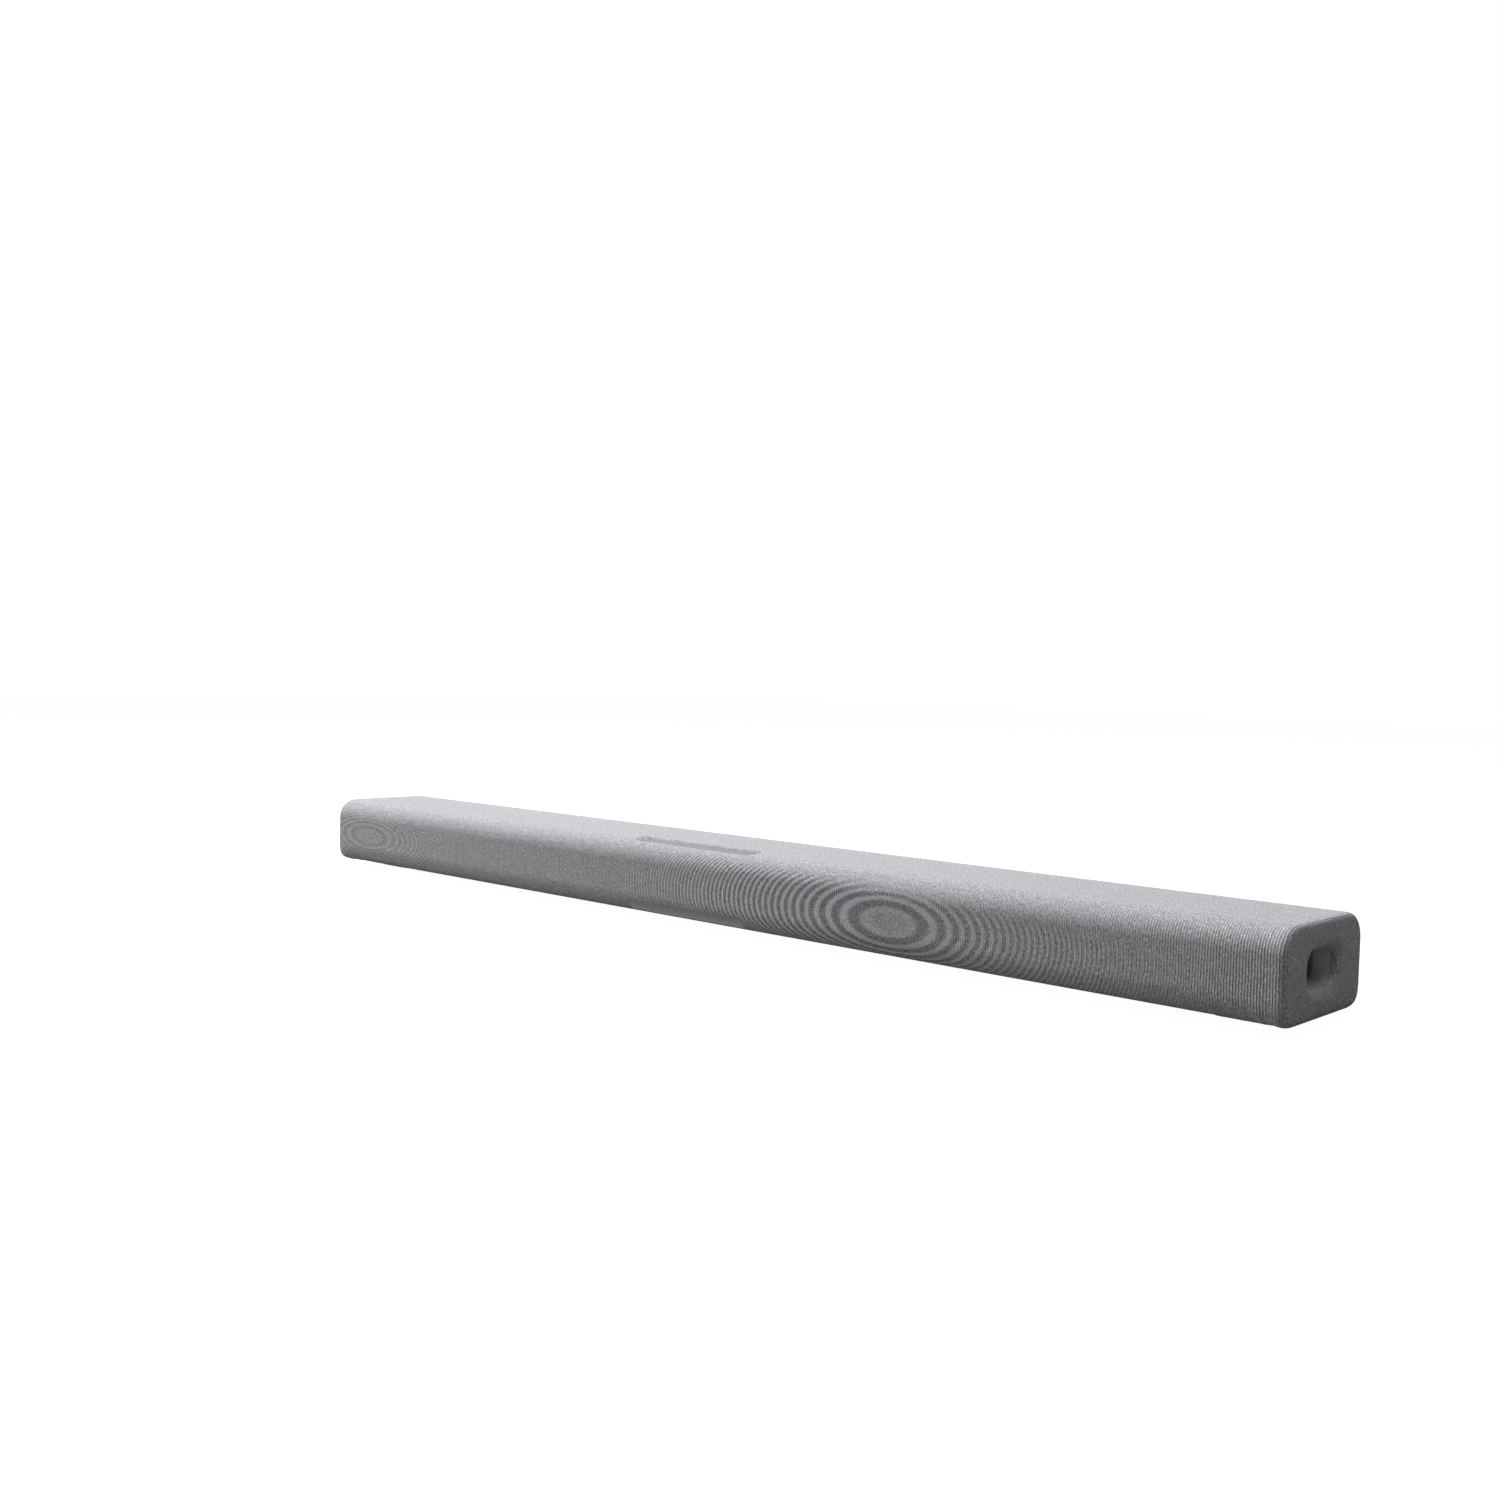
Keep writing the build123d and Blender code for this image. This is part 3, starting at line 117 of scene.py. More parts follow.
# Adds a block between two corners, turned about X, with its place in its mesh
def addBlock(name, low, high, turn=0.0):
    if bpy.context.object and bpy.context.object.mode != "OBJECT":
        bpy.ops.object.mode_set(mode="OBJECT")
    bpy.ops.object.select_all(action="DESELECT")
    low, high = Vector(low), Vector(high)
    bpy.ops.mesh.primitive_cube_add(size=1, location=(low + high) / 2, rotation=(turn, 0, 0), scale=high - low)
    block = bpy.context.object
    block.name = name
    bpy.ops.object.transform_apply(location=True, rotation=True, scale=True)
    return block


# Rounds the edges of a block that run along one axis
def roundAlong(block, axis, radius, steps):
    pick(block, "EDGE", lambda middle, way: abs(way[axis]) > 0.99)
    bpy.ops.mesh.bevel(offset=radius, segments=steps, affect="EDGES", clamp_overlap=False)
    bpy.ops.object.mode_set(mode="OBJECT")
    return block


# Applies a modifier that has been given its settings
def applyModifier(piece, kind, **settings):
    bpy.ops.object.mode_set(mode="OBJECT")
    bpy.context.view_layer.objects.active = piece
    modifier = piece.modifiers.new(kind.lower(), kind)
    for name, value in settings.items():
        setattr(modifier, name, value)
    bpy.ops.object.modifier_apply(modifier=modifier.name)


# Cuts one block out of a piece and deletes the block
def cutWith(piece, cutter):
    applyModifier(piece, "BOOLEAN", operation="DIFFERENCE", solver="EXACT", object=cutter)
    bpy.data.objects.remove(cutter)


# Deletes the faces of a piece that pass a test
def deleteFaces(piece, test):
    pick(piece, "FACE", test)
    bpy.ops.mesh.delete(type="FACE")


# Camera, floor and light
camera = {
    "place": (0.8926, -0.9274, 0.2124),
    "yaw": 43.22,
    "pitch": 2.99,
    "roll": 1.31,
    "lens": 37.06,
    "sensor": 36,
    "clip": (0.01, 60),
}


def addCamera():
    yaw, pitch, roll = (math.radians(camera[k]) for k in ("yaw", "pitch", "roll"))
    ahead = Vector((-math.sin(yaw) * math.cos(pitch), math.cos(yaw) * math.cos(pitch), -math.sin(pitch)))
    right = Vector((math.cos(yaw), math.sin(yaw), 0))
    up = right.cross(ahead)
    across = right * math.cos(roll) + up * math.sin(roll)
    upright = up * math.cos(roll) - right * math.sin(roll)
    turned = Matrix((across, upright, -ahead)).transposed().to_4x4()
    bpy.ops.object.camera_add()
    seen = bpy.context.object
    seen.matrix_world = Matrix.Translation(camera["place"]) @ turned
    seen.data.lens = camera["lens"]
    seen.data.sensor_width = camera["sensor"]
    seen.data.clip_start, seen.data.clip_end = camera["clip"]
    bpy.context.scene.camera = seen


studio = {
    "floorColour": "747474",
    "floorSize": 14,
    "floorLift": 0.975,      # how near to white the floor looks before light falls on it
    "worldLevel": 0.075,     # the light that the surroundings give
    # name: place, aim, width, height, watts
    "lights": {
        "overhead": ((-0.50, -0.10, 2.05), (-0.05, 0.0, 0.06), 1.9, 1.0, 51.8),
        "endFill": ((1.05, 0.10, 1.9), (0.5, 0.0, 0.04), 0.7, 0.7, 6.6),
        "frontFill": ((-1.95, -1.0, 0.55), (-0.1, 0.0, 0.04), 1.0, 0.7, 17.8),
    },
}


# Tells the rays that should meet a white backdrop from those that only carry light
def backdropRays(tree, kinds):
    path = addNode(tree, "ShaderNodeLightPath")
    seen = path.outputs[kinds[0]]
    for kind in kinds[1:]:
        seen = addNode(tree, "ShaderNodeMath", {"operation": "MAXIMUM"}, {0: seen, 1: path.outputs[kind]})
    return seen


def addStudio():
    bpy.ops.mesh.primitive_plane_add(size=studio["floorSize"], location=(0, 0, 0))
    floor = bpy.context.object
    floor.name = "studioFloor"
    material = bpy.data.materials.new("paleStudioFloor")
    material.use_nodes = True
    tree = material.node_tree
    tree.nodes.clear()
    seen = backdropRays(tree, ("Is Camera Ray", "Is Glossy Ray"))
    lift = addNode(tree, "ShaderNodeMath", {"operation": "MULTIPLY"}, {0: seen, 1: studio["floorLift"]})
    paint = addNode(tree, "ShaderNodeBsdfDiffuse", None, {"Color": linearColour(studio["floorColour"])})
    glow = addNode(tree, "ShaderNodeEmission", None, {"Strength": lift})
    both = addNode(tree, "ShaderNodeAddShader", None, {0: paint, 1: glow})
    addNode(tree, "ShaderNodeOutputMaterial", None, {"Surface": both})
    floor.data.materials.append(material)

    world = bpy.data.worlds.new("studioWorld")
    bpy.context.scene.world = world
    world.use_nodes = True
    tree = world.node_tree
    tree.nodes.clear()
    seen = backdropRays(tree, ("Is Camera Ray", "Is Glossy Ray", "Is Transmission Ray"))
    level = addNode(tree, "ShaderNodeMapRange", None,
                    {"Value": seen, "To Min": studio["worldLevel"], "To Max": 1.0})
    sky = addNode(tree, "ShaderNodeBackground", None, {"Color": (1, 1, 1, 1), "Strength": level})
    addNode(tree, "ShaderNodeOutputWorld", None, {"Surface": sky})

    for name, (place, aim, width, height, watts) in studio["lights"].items():
        bpy.ops.object.light_add(type="AREA", location=place)
        lamp = bpy.context.object
        lamp.name = name
        lamp.rotation_euler = (Vector(aim) - Vector(place)).to_track_quat("-Z", "Y").to_euler()
        lamp.data.shape = "RECTANGLE"
        lamp.data.size = width
        lamp.data.size_y = height
        lamp.data.energy = watts


bpy.context.scene.view_settings.view_transform = "Standard"
addCamera()
addStudio()
print("camera, floor and lights placed")

# Knitted sleeve
knit = {
    "colour": "babbbf",
    "darkYarn": "72747a",
    "paleYarn": "efeff1",
    "ribPitch": 0.0019,                 # one column of stitches, drawn wider than the real 1.5 mm so that it shows
    "coursePitch": 0.0015,              # one row of stitches
    "legSlope": 0.9,                    # how steeply the legs of a stitch run down to the middle of its rib
    "stray": 0.0016,                    # how far the ribs wander
    "strayLength": 0.03,                # over about this length
    "grain": 0.0011,                    # size of the yarns' light and dark marks
    "grainStretch": (1.0, 0.5, 1.0),    # which are twice as long down the rib as across it
    "grainTones": (0.32, 0.68, 0.8),    # noise between the first two shifts the tone either way by up to the third
    "cloudLength": 0.007,               # size of the broader lighter and darker patches
    "cloudWeight": 0.9,
    "ribWeight": 0.30,
    "courseWeight": 0.16,
    "fleckLength": 0.0021,              # size of the palest flecks
    "fleckTones": (0.60, 0.74, 0.9),    # noise between the first two lightens the tone by up to the third
    "toneReach": 1.4,                   # tone, either way, at which only the pale or the dark yarn is left
    "bumpHeight": 0.00025,
    "bumpStrength": 0.8,
    "courseHeight": 0.45,               # heights of the rows and of the yarns, where the ribs' is 1
    "yarnHeight": 1.8,
}
rings = {
    # Each set's middle along the bar and up the front, half width and half height of its first ring, how far its rings
    # crowd to one side, its strength, and the number of rings before they fade out
    "sets": (
        {"along": 0.2140, "up": -0.0030, "width": 0.0368, "height": 0.0155,
         "lean": 0.31, "strength": 0.9, "count": 85.0},
        {"along": -0.452, "up": -0.0015, "width": 0.0335, "height": 0.0105,
         "lean": 0.0, "strength": 0.33, "count": 45.0},
    ),
    "first": 0.75,                      # share of a ring at which the first dark one lies
    "start": 0.6,                       # rings before they reach their strength
    "hold": 0.1,                        # share of their number at which they start to fade
    "crest": 0.8,                       # height of the wave at which a ring is at its darkest
    "depth": 0.95,
    "top": (0.022, 0.034),              # heights that the rings fade out between, on the upper corner
    "bottom": (-0.041, -0.028),         # and on the lower corner
    "slope": 0.05,                      # how much lower the upper ones are further along the bar
    "side": (0.20, 0.32, 0.6),          # between these two places along the bar they weaken to this share
    "stray": 0.0009,                    # how far the rings wander with the stitches
    "strayLength": 0.0035,
}


# Adds rings of painted light and shade to the tone of the knit, a moiré of its ribs
def addRings(tree, place, parts, drawn, tone):
    rise = addNode(tree, "ShaderNodeVectorMath", {"operation": "DOT_PRODUCT"}, {0: place, 1: (rings["slope"], 1, 0)})
    below = addNode(tree, "ShaderNodeMapRange", {"interpolation_type": "SMOOTHSTEP"},
                    {"Value": rise.outputs["Value"], "From Min": rings["top"][0], "From Max": rings["top"][1],
                     "To Min": 1.0, "To Max": 0.0})
    above = addNode(tree, "ShaderNodeMapRange", {"interpolation_type": "SMOOTHSTEP"},
                    {"Value": parts.outputs[1], "From Min": rings["bottom"][0], "From Max": rings["bottom"][1]})
    within = addNode(tree, "ShaderNodeMath", {"operation": "MULTIPLY"}, {0: below, 1: above})
    start, end, share = rings["side"]
    side = addNode(tree, "ShaderNodeMapRange", None,
                   {"Value": parts.outputs[0], "From Min": start, "From Max": end, "To Min": 1.0, "To Max": share})
    within = addNode(tree, "ShaderNodeMath", {"operation": "MULTIPLY"}, {0: within, 1: side})
    ragged = addNode(tree, "ShaderNodeTexNoise", None,
                     {"Vector": drawn, "Scale": 1 / rings["strayLength"], "Detail": 1.0})
    strayed = addNode(tree, "ShaderNodeVectorMath", {"operation": "MULTIPLY_ADD"},
                      {0: ragged.outputs["Color"], 1: (rings["stray"],) * 3, 2: place})
    for ring in rings["sets"]:
        spread = addNode(tree, "ShaderNodeMapping", {"vector_type": "TEXTURE"},
                         {"Vector": strayed, "Location": (ring["along"], ring["up"], 0),
                          "Scale": (ring["width"], ring["height"], 1)})
        bent = addNode(tree, "ShaderNodeVectorMath", {"operation": "MULTIPLY_ADD"},
                       {0: spread, 1: (ring["lean"] * ring["width"], 0, 0), 2: (1, 1, 1)})
        spread = addNode(tree, "ShaderNodeVectorMath", {"operation": "MULTIPLY"}, {0: spread, 1: bent})
        count = addNode(tree, "ShaderNodeVectorMath", {"operation": "DOT_PRODUCT"}, {0: spread, 1: spread})
        count = count.outputs["Value"]
        turns = addNode(tree, "ShaderNodeMath", {"operation": "MULTIPLY_ADD"},
                        {0: count, 1: 2 * math.pi, 2: -2 * math.pi * rings["first"]})
        wave = addNode(tree, "ShaderNodeMath", {"operation": "COSINE"}, {0: turns})
        shade = addNode(tree, "ShaderNodeMapRange", {"interpolation_type": "SMOOTHSTEP"},
                        {"Value": wave, "From Min": -1.0, "From Max": rings["crest"],
                         "To Min": rings["depth"], "To Max": -rings["depth"]})
        starts = addNode(tree, "ShaderNodeMapRange", {"interpolation_type": "SMOOTHSTEP"},
                         {"Value": count, "From Min": 0.0, "From Max": rings["start"],
                          "To Min": 0.0, "To Max": ring["strength"]})
        fades = addNode(tree, "ShaderNodeMapRange", {"interpolation_type": "SMOOTHSTEP"},
                        {"Value": count, "From Min": rings["hold"] * ring["count"], "From Max": ring["count"],
                         "To Min": 1.0, "To Max": 0.0})
        shown = addNode(tree, "ShaderNodeMath", {"operation": "MULTIPLY"}, {0: starts, 1: fades})
        shown = addNode(tree, "ShaderNodeMath", {"operation": "MULTIPLY"}, {0: shown, 1: within})
        tone = addNode(tree, "ShaderNodeMath", {"operation": "MULTIPLY_ADD"}, {0: shade, 1: shown, 2: tone})
    return tone


def polyesterKnit():
    # Mélange polyester knit: matt, with fine upright ribs, and light and dark yarns mixed in each stitch
    material, tree, shader = startMaterial("melangePolyesterKnit")
    place = addNode(tree, "ShaderNodeUVMap", {"uv_map": "threadMap"})
    parts = addNode(tree, "ShaderNodeSeparateXYZ", None, {0: place})
    # The ribs wander a little, as a stretched knit does
    drift = addNode(tree, "ShaderNodeTexNoise", None,
                    {"Vector": place, "Scale": 1 / knit["strayLength"], "Detail": 2.0})
    along = addNode(tree, "ShaderNodeMath", {"operation": "MULTIPLY_ADD"},
                    {0: drift.outputs["Fac"], 1: knit["stray"], 2: parts.outputs[0]})
    turns = addNode(tree, "ShaderNodeMath", {"operation": "MULTIPLY"}, {0: along, 1: 2 * math.pi / knit["ribPitch"]})
    rib = addNode(tree, "ShaderNodeMath", {"operation": "COSINE"}, {0: turns})
    # The two legs of each stitch slope down to the middle of its rib
    leg = addNode(tree, "ShaderNodeMath", {"operation": "PINGPONG"}, {0: along, 1: knit["ribPitch"] / 2})
    down = addNode(tree, "ShaderNodeMath", {"operation": "MULTIPLY_ADD"},
                   {0: leg, 1: knit["legSlope"], 2: parts.outputs[1]})
    turns = addNode(tree, "ShaderNodeMath", {"operation": "MULTIPLY"}, {0: down, 1: 2 * math.pi / knit["coursePitch"]})
    course = addNode(tree, "ShaderNodeMath", {"operation": "COSINE"}, {0: turns})
    # Each yarn is a little lighter or darker over a few stitches
    drawn = addNode(tree, "ShaderNodeMapping", None, {"Vector": place, "Scale": knit["grainStretch"]})
    yarn = addNode(tree, "ShaderNodeTexNoise", None,
                   {"Vector": drawn, "Scale": 1 / knit["grain"], "Detail": 2.0, "Roughness": 0.6})
    dull, bright, shift = knit["grainTones"]
    tone = addNode(tree, "ShaderNodeMapRange", None, {"Value": yarn.outputs["Fac"], "From Min": dull,
                                                      "From Max": bright, "To Min": -shift, "To Max": shift})
    cloud = addNode(tree, "ShaderNodeTexNoise", None,
                    {"Vector": place, "Scale": 1 / knit["cloudLength"], "Detail": 3.0})
    for source, weight, lift in ((cloud.outputs["Fac"], knit["cloudWeight"], -knit["cloudWeight"] / 2),
                                 (rib, knit["ribWeight"], 0.0), (course, knit["courseWeight"], 0.0)):
        share = addNode(tree, "ShaderNodeMath", {"operation": "MULTIPLY_ADD"}, {0: source, 1: weight, 2: lift})
        tone = addNode(tree, "ShaderNodeMath", {"operation": "ADD"}, {0: tone, 1: share})
    fleck = addNode(tree, "ShaderNodeTexNoise", None,
                    {"Vector": place, "Scale": 1 / knit["fleckLength"], "Detail": 1.0})
    dull, bright, shift = knit["fleckTones"]
    spot = addNode(tree, "ShaderNodeMapRange", None, {"Value": fleck.outputs["Fac"], "From Min": dull,
                                                      "From Max": bright, "To Min": 0.0, "To Max": shift})
    tone = addNode(tree, "ShaderNodeMath", {"operation": "ADD"}, {0: tone, 1: spot})
    # Painted light and shade, in rings over the front
    tone = addRings(tree, place, parts, drawn, tone)

    colour = addNode(tree, "ShaderNodeMapRange", None,
                     {"Value": tone, "From Min": -knit["toneReach"], "From Max": knit["toneReach"]})
    colour = addNode(tree, "ShaderNodeValToRGB", None, {"Fac": colour})
    colour.color_ramp.elements[0].color = linearColour(knit["darkYarn"])
    colour.color_ramp.elements[1].color = linearColour(knit["paleYarn"])
    colour.color_ramp.elements.new(0.5).color = linearColour(knit["colour"])
    height = addNode(tree, "ShaderNodeMath", {"operation": "MULTIPLY_ADD"},
                     {0: course, 1: knit["courseHeight"], 2: rib})
    height = addNode(tree, "ShaderNodeMath", {"operation": "MULTIPLY_ADD"},
                     {0: yarn.outputs["Fac"], 1: knit["yarnHeight"], 2: height})
    bump = addNode(tree, "ShaderNodeBump", None,
                   {"Strength": knit["bumpStrength"], "Distance": knit["bumpHeight"], "Height": height})
    tree.links.new(colour.outputs[0], shader.inputs["Base Color"])
    tree.links.new(bump.outputs[0], shader.inputs["Normal"])
    setShader(shader, roughness=0.92, specular=0.2, sheen=0.12, sheenRoughness=0.6)
    return material


sleeve = {
    "cloth": 0.0012,
    "cornerRadius": 0.018,
    "cornerSteps": 14,
    "endRadius": 0.006,                          # where the flat of the end starts to round over
    "endSteps": 10,
    "endProfile": 0.62,                          # fuller than a quarter circle
    "baseOpening": (0.986, 0.077, 0.008, 6),     # length, width, corner radius, corner steps
    "rearOpening": (0.930, 0.030, 0.004, 6),
    "recessRim": 0.00015,                        # gap round the touch strip
    "recessDepth": 0.0029,
    "recessSteps": 16,
    "recessRoll": (0.0046, 0.0018),              # width of the cloth that dips into the recess, in front and behind
    "recessDip": (0.0029, 0.0021),
    "recessCuts": 0.0006,                        # distance between the cuts that let it bend
    "recessPower": 1.5,                          # how late it turns down
    "portSize": (0.043, 0.025, 0.011, 8),        # width, height, corner radius, corner steps
    "portRoll": 0.009,                           # how far out from the port the cloth starts to roll in
    "portSteps": 10,
    "portMouth": 1.15,                           # depth of the first cut, as a share of the roll
    "portLining": 0.0055,                        # depth to which it is pressed flat
    "windowSize": (0.130, 0.008),                # length, and depth of its cutter
    "windowAngles": (22.0, 60.0),
    "windowSunk": 0.0002,                        # how far below the cloth a face of the window lies
    "gatherLength": 0.040,
    "gatherCuts": 0.002,
    "gatherHeight": 0.0007,
    "gatherPitch": 0.011,                        # one pleat to the next, along the bar
    "gatherSeed": 4,
    "gatherStart": 3,                            # how fast the pleats grow from their inner end
    "gatherStop": (6, 0.4),                      # and how fast they shrink, and to what share, at the bar's end
    "gatherPower": 1.5,                          # how much they keep to the lower edge
    "pleat": (0.5, -0.3),                        # share of the height that a pleat rises and falls by, and its middle
    "wander": (60, 25, 2.2),                     # how fast the pleats wander along the bar and round it, and how far
    "cornerFill": 0.0022,                        # how far the gathered cloth fills out the lower corners at the ends
    "endFacing": 0.72,                           # faces that look along the bar more than this lie on the end's cloth
    "endPlace": 0.62,                            # which is drawn this far from the middle of the flat cloth
    "sharpAngle": 35,
}


# Rolls the cloth into the port mouths, cut deep enough for a round roll and then pressed flat to the lining's depth
def sinkPorts(piece, high):
    gasketLow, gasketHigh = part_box("port_gaskets")
    port = (gasketLow + gasketHigh) / 2
    width, height, corner, steps = sleeve["portSize"]
    roll = sleeve["portRoll"]
    mouth = sleeve["portMouth"] * roll
    for side in (-1, 1):
        near, far = side * (high.x + spare), side * (high.x - mouth)
        cutter = addBlock("portCut", (min(near, far), port.y - width / 2, port.z - height / 2),
                          (max(near, far), port.y + width / 2, port.z + height / 2))
        cutWith(piece, roundAlong(cutter, 0, corner, steps))
    slack = 10 * hair
    pick(piece, "EDGE", lambda centre, way: abs(abs(centre.x) - high.x) < hair and abs(way.x) < 0.1
         and abs(centre.y - port.y) < width / 2 + slack and abs(centre.z - port.z) < height / 2 + slack)
    bpy.ops.mesh.bevel(offset=roll, segments=sleeve["portSteps"], affect="EDGES", clamp_overlap=False)
    deleteFaces(piece, lambda centre, facing: abs(abs(centre.x) - high.x + mouth) < hair and abs(facing.x) > 0.9)
    bpy.ops.object.mode_set(mode="OBJECT")
    for vertex in piece.data.vertices:
        depth = high.x - abs(vertex.co.x)
        inMouth = abs(vertex.co.y - port.y) < width / 2 + roll and abs(vertex.co.z - port.z) < height / 2 + roll
        if 0 < depth < mouth + hair and inMouth:
            vertex.co.x = math.copysign(high.x - depth * sleeve["portLining"] / mouth, vertex.co.x)


# Opens the touch recess over its strip and dips the cloth softly towards its rim
def sinkRecess(piece, middle, high):
    stripLow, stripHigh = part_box("touch_strip")
    rim, depth = sleeve["recessRim"], sleeve["recessDepth"]
    cutter = addBlock("recessCut", (stripLow.x - rim, stripLow.y - rim, high.z - depth),
                      (stripHigh.x + rim, stripHigh.y + rim, high.z + spare))
    halfWidth = (stripHigh.y - stripLow.y) / 2 + rim
    cutWith(piece, roundAlong(cutter, 2, halfWidth - hair, sleeve["recessSteps"]))
    touchY = (stripLow.y + stripHigh.y) / 2
    straight = stripHigh.x + rim - halfWidth
    deleteFaces(piece, lambda centre, facing: facing.z > 0.9 and abs(centre.z - high.z + depth) < hair)

    # Rows of cuts round it, which let the cloth bend
    (nearRoll, farRoll), (nearDip, farDip), step = (sleeve[k] for k in ("recessRoll", "recessDip", "recessCuts"))
    cuts = []
    for index in range(int(nearRoll / step) + 1):
        cuts += [((0, touchY + side * (halfWidth + index * step), 0), (0, 1, 0)) for side in (-1, 1)]
    for index in range(int((halfWidth + nearRoll) / (2 * step)) + 1):
        cuts += [((side * (straight + halfWidth + nearRoll - 2 * index * step), 0, 0), (1, 0, 0)) for side in (-1, 1)]
    for spot, way in cuts:
        pick(piece, "FACE", lambda centre, facing: centre.z > middle and facing.z > 0.5)
        bpy.ops.mesh.bisect(plane_co=spot, plane_no=way)
    bpy.ops.object.mode_set(mode="OBJECT")
    for vertex in piece.data.vertices:
        across = math.hypot(max(abs(vertex.co.x) - straight, 0), vertex.co.y - touchY)
        behind = 0.5 + 0.5 * (vertex.co.y - touchY) / max(across, 1e-6)
        outward = across - halfWidth
        recessRoll = nearRoll + (farRoll - nearRoll) * behind
        if vertex.co.z > middle and -10 * hair < outward < recessRoll:
            drop = nearDip + (farDip - nearDip) * behind - (high.z - vertex.co.z)
            vertex.co.z -= max(drop, 0) * (1 - max(outward, 0) / recessRoll) ** sleeve["recessPower"]


# Opens the cloth underneath, behind, and over the indicator plate on the lower front corner
def openCloth(piece, low, middle, high):
    depth = 2 * sleeve["cloth"]
    length, width, corner, steps = sleeve["baseOpening"]
    cutter = addBlock("baseCut", (-length / 2, -width / 2, low.z - spare), (length / 2, width / 2, low.z + depth))
    cutWith(piece, roundAlong(cutter, 2, corner, steps))
    deleteFaces(piece, lambda centre, facing: low.z + hair < centre.z < low.z + depth + hair
                and abs(centre.x) < length / 2 + hair and abs(centre.y) < width / 2 + hair)
    length, width, corner, steps = sleeve["rearOpening"]
    cutter = addBlock("rearCut", (-length / 2, high.y - depth, middle - width / 2),
                      (length / 2, high.y + spare, middle + width / 2))
    cutWith(piece, roundAlong(cutter, 1, corner, steps))
    deleteFaces(piece, lambda centre, facing: abs(centre.x) < length / 2 + hair
                and abs(centre.z - middle) < width / 2 + hair and high.y - depth - hair < centre.y < high.y - hair
                and (abs(facing.y) < 0.1 or centre.y < high.y - depth + hair))

    length, thick = sleeve["windowSize"]
    upper, lower = (math.radians(a) for a in sleeve["windowAngles"])
    turn = (upper + lower) / 2
    radius = sleeve["cornerRadius"]
    axis = Vector((0, low.y + radius, low.z + radius))
    spot = axis + radius * Vector((0, -math.cos(turn), -math.sin(turn)))
    half = Vector((length / 2, thick / 2, radius * math.sin((lower - upper) / 2)))
    cutWith(piece, addBlock("windowCut", spot - half, spot + half, turn))
    deleteFaces(piece, lambda centre, facing: abs(centre.x) < half.x + hair and centre.y < axis.y
                and centre.z < axis.z
                and math.hypot(centre.y - axis.y, centre.z - axis.z) < radius - sleeve["windowSunk"])


# Gathers the cloth in pleats along the lower edge near each end, and fills out the corners there
def gatherEnds(piece, low, middle, high):
    step = sleeve["gatherCuts"]
    for side in (-1, 1):
        for index in range(int(sleeve["gatherLength"] / step)):
            pick(piece, "FACE", lambda centre, facing: side * centre.x > 0)
            bpy.ops.mesh.bisect(plane_co=(side * (high.x - sleeve["endRadius"] - index * step), 0, 0),
                                plane_no=(1, 0, 0))
    pick(piece, "FACE", lambda centre, facing: True)
    bpy.ops.mesh.remove_doubles(threshold=1e-6)
    bpy.ops.mesh.normals_make_consistent(inside=False)
    bpy.ops.object.mode_set(mode="OBJECT")
    random.seed(sleeve["gatherSeed"])
    phases = {side: random.uniform(0, 2 * math.pi) for side in (-1, 1)}
    flatY, flatZ = (half - sleeve["cornerRadius"] for half in (high.y, (high.z - low.z) / 2))
    alongRate, roundRate, wanderTurn = sleeve["wander"]
    stopRate, stopShare = sleeve["gatherStop"]
    swing, sink = sleeve["pleat"]
    for vertex in piece.data.vertices:
        place = vertex.co.copy()
        side = math.copysign(1, place.x)
        nearEnd = 1 - (high.x - abs(place.x)) / sleeve["gatherLength"]
        below = (middle - place.z) / (middle - low.z)
        outward = Vector((0, place.y, place.z - middle))
        if nearEnd <= 0 or below <= 0 or abs(place.x) > high.x - hair:
            continue
        wander = noise.noise(Vector((place.x * alongRate, place.y * roundRate, place.z * roundRate)))
        pleat = math.cos(2 * math.pi * place.x / sleeve["gatherPitch"] + phases[side] + wanderTurn * wander)
        held = (min(nearEnd * sleeve["gatherStart"], 1) * min((1 - nearEnd) * stopRate + stopShare, 1)
                * below ** sleeve["gatherPower"])
        vertex.co += outward.normalized() * sleeve["gatherHeight"] * held * (swing * pleat + sink)
        turn = math.atan2(max(middle - place.z - flatZ, 0), max(abs(place.y) - flatY, 0))
        filled = sleeve["cornerFill"] * math.sin(2 * turn) ** 2 * math.sin(nearEnd * math.pi / 2) ** 2
        vertex.co += Vector((0, math.copysign(filled, place.y), -filled)) / math.sqrt(2)


# Where a point of the sleeve lies on the flat cloth: along the bar, and round it from the middle of the front
def clothPlace(point, centre, facing, low, high):
    middle = (low.z + high.z) / 2
    corner = sleeve["cornerRadius"]
    flatY, flatZ = high.y - corner, (high.z - low.z) / 2 - corner
    quarter = corner * math.pi / 2
    y, z = point.y, point.z - middle
    if abs(facing.x) > sleeve["endFacing"]:
        return (math.copysign(sleeve["endPlace"], centre.x) + y, z)
    cy, cz = centre.y, centre.z - middle
    if cz > 0 and abs(cy) <= flatY:
        return (point.x, flatZ + quarter + y + flatY)
    if cz < 0 and abs(cy) <= flatY:
        return (point.x, -flatZ - quarter - y - flatY)
    if abs(cz) <= flatZ:
        return (point.x, z) if cy < 0 else (point.x, flatZ + 2 * quarter + 2 * flatY + flatZ - z)
    turn = math.atan2(max(abs(z) - flatZ, 0), max(abs(y) - flatY, 0))
    if cz > 0:
        around = flatZ + corner * turn if cy < 0 else flatZ + 2 * flatY + quarter + corner * (math.pi / 2 - turn)
    else:
        around = -flatZ - corner * turn if cy < 0 else -flatZ - 2 * flatY - quarter - corner * (math.pi / 2 - turn)
    return (point.x, around)


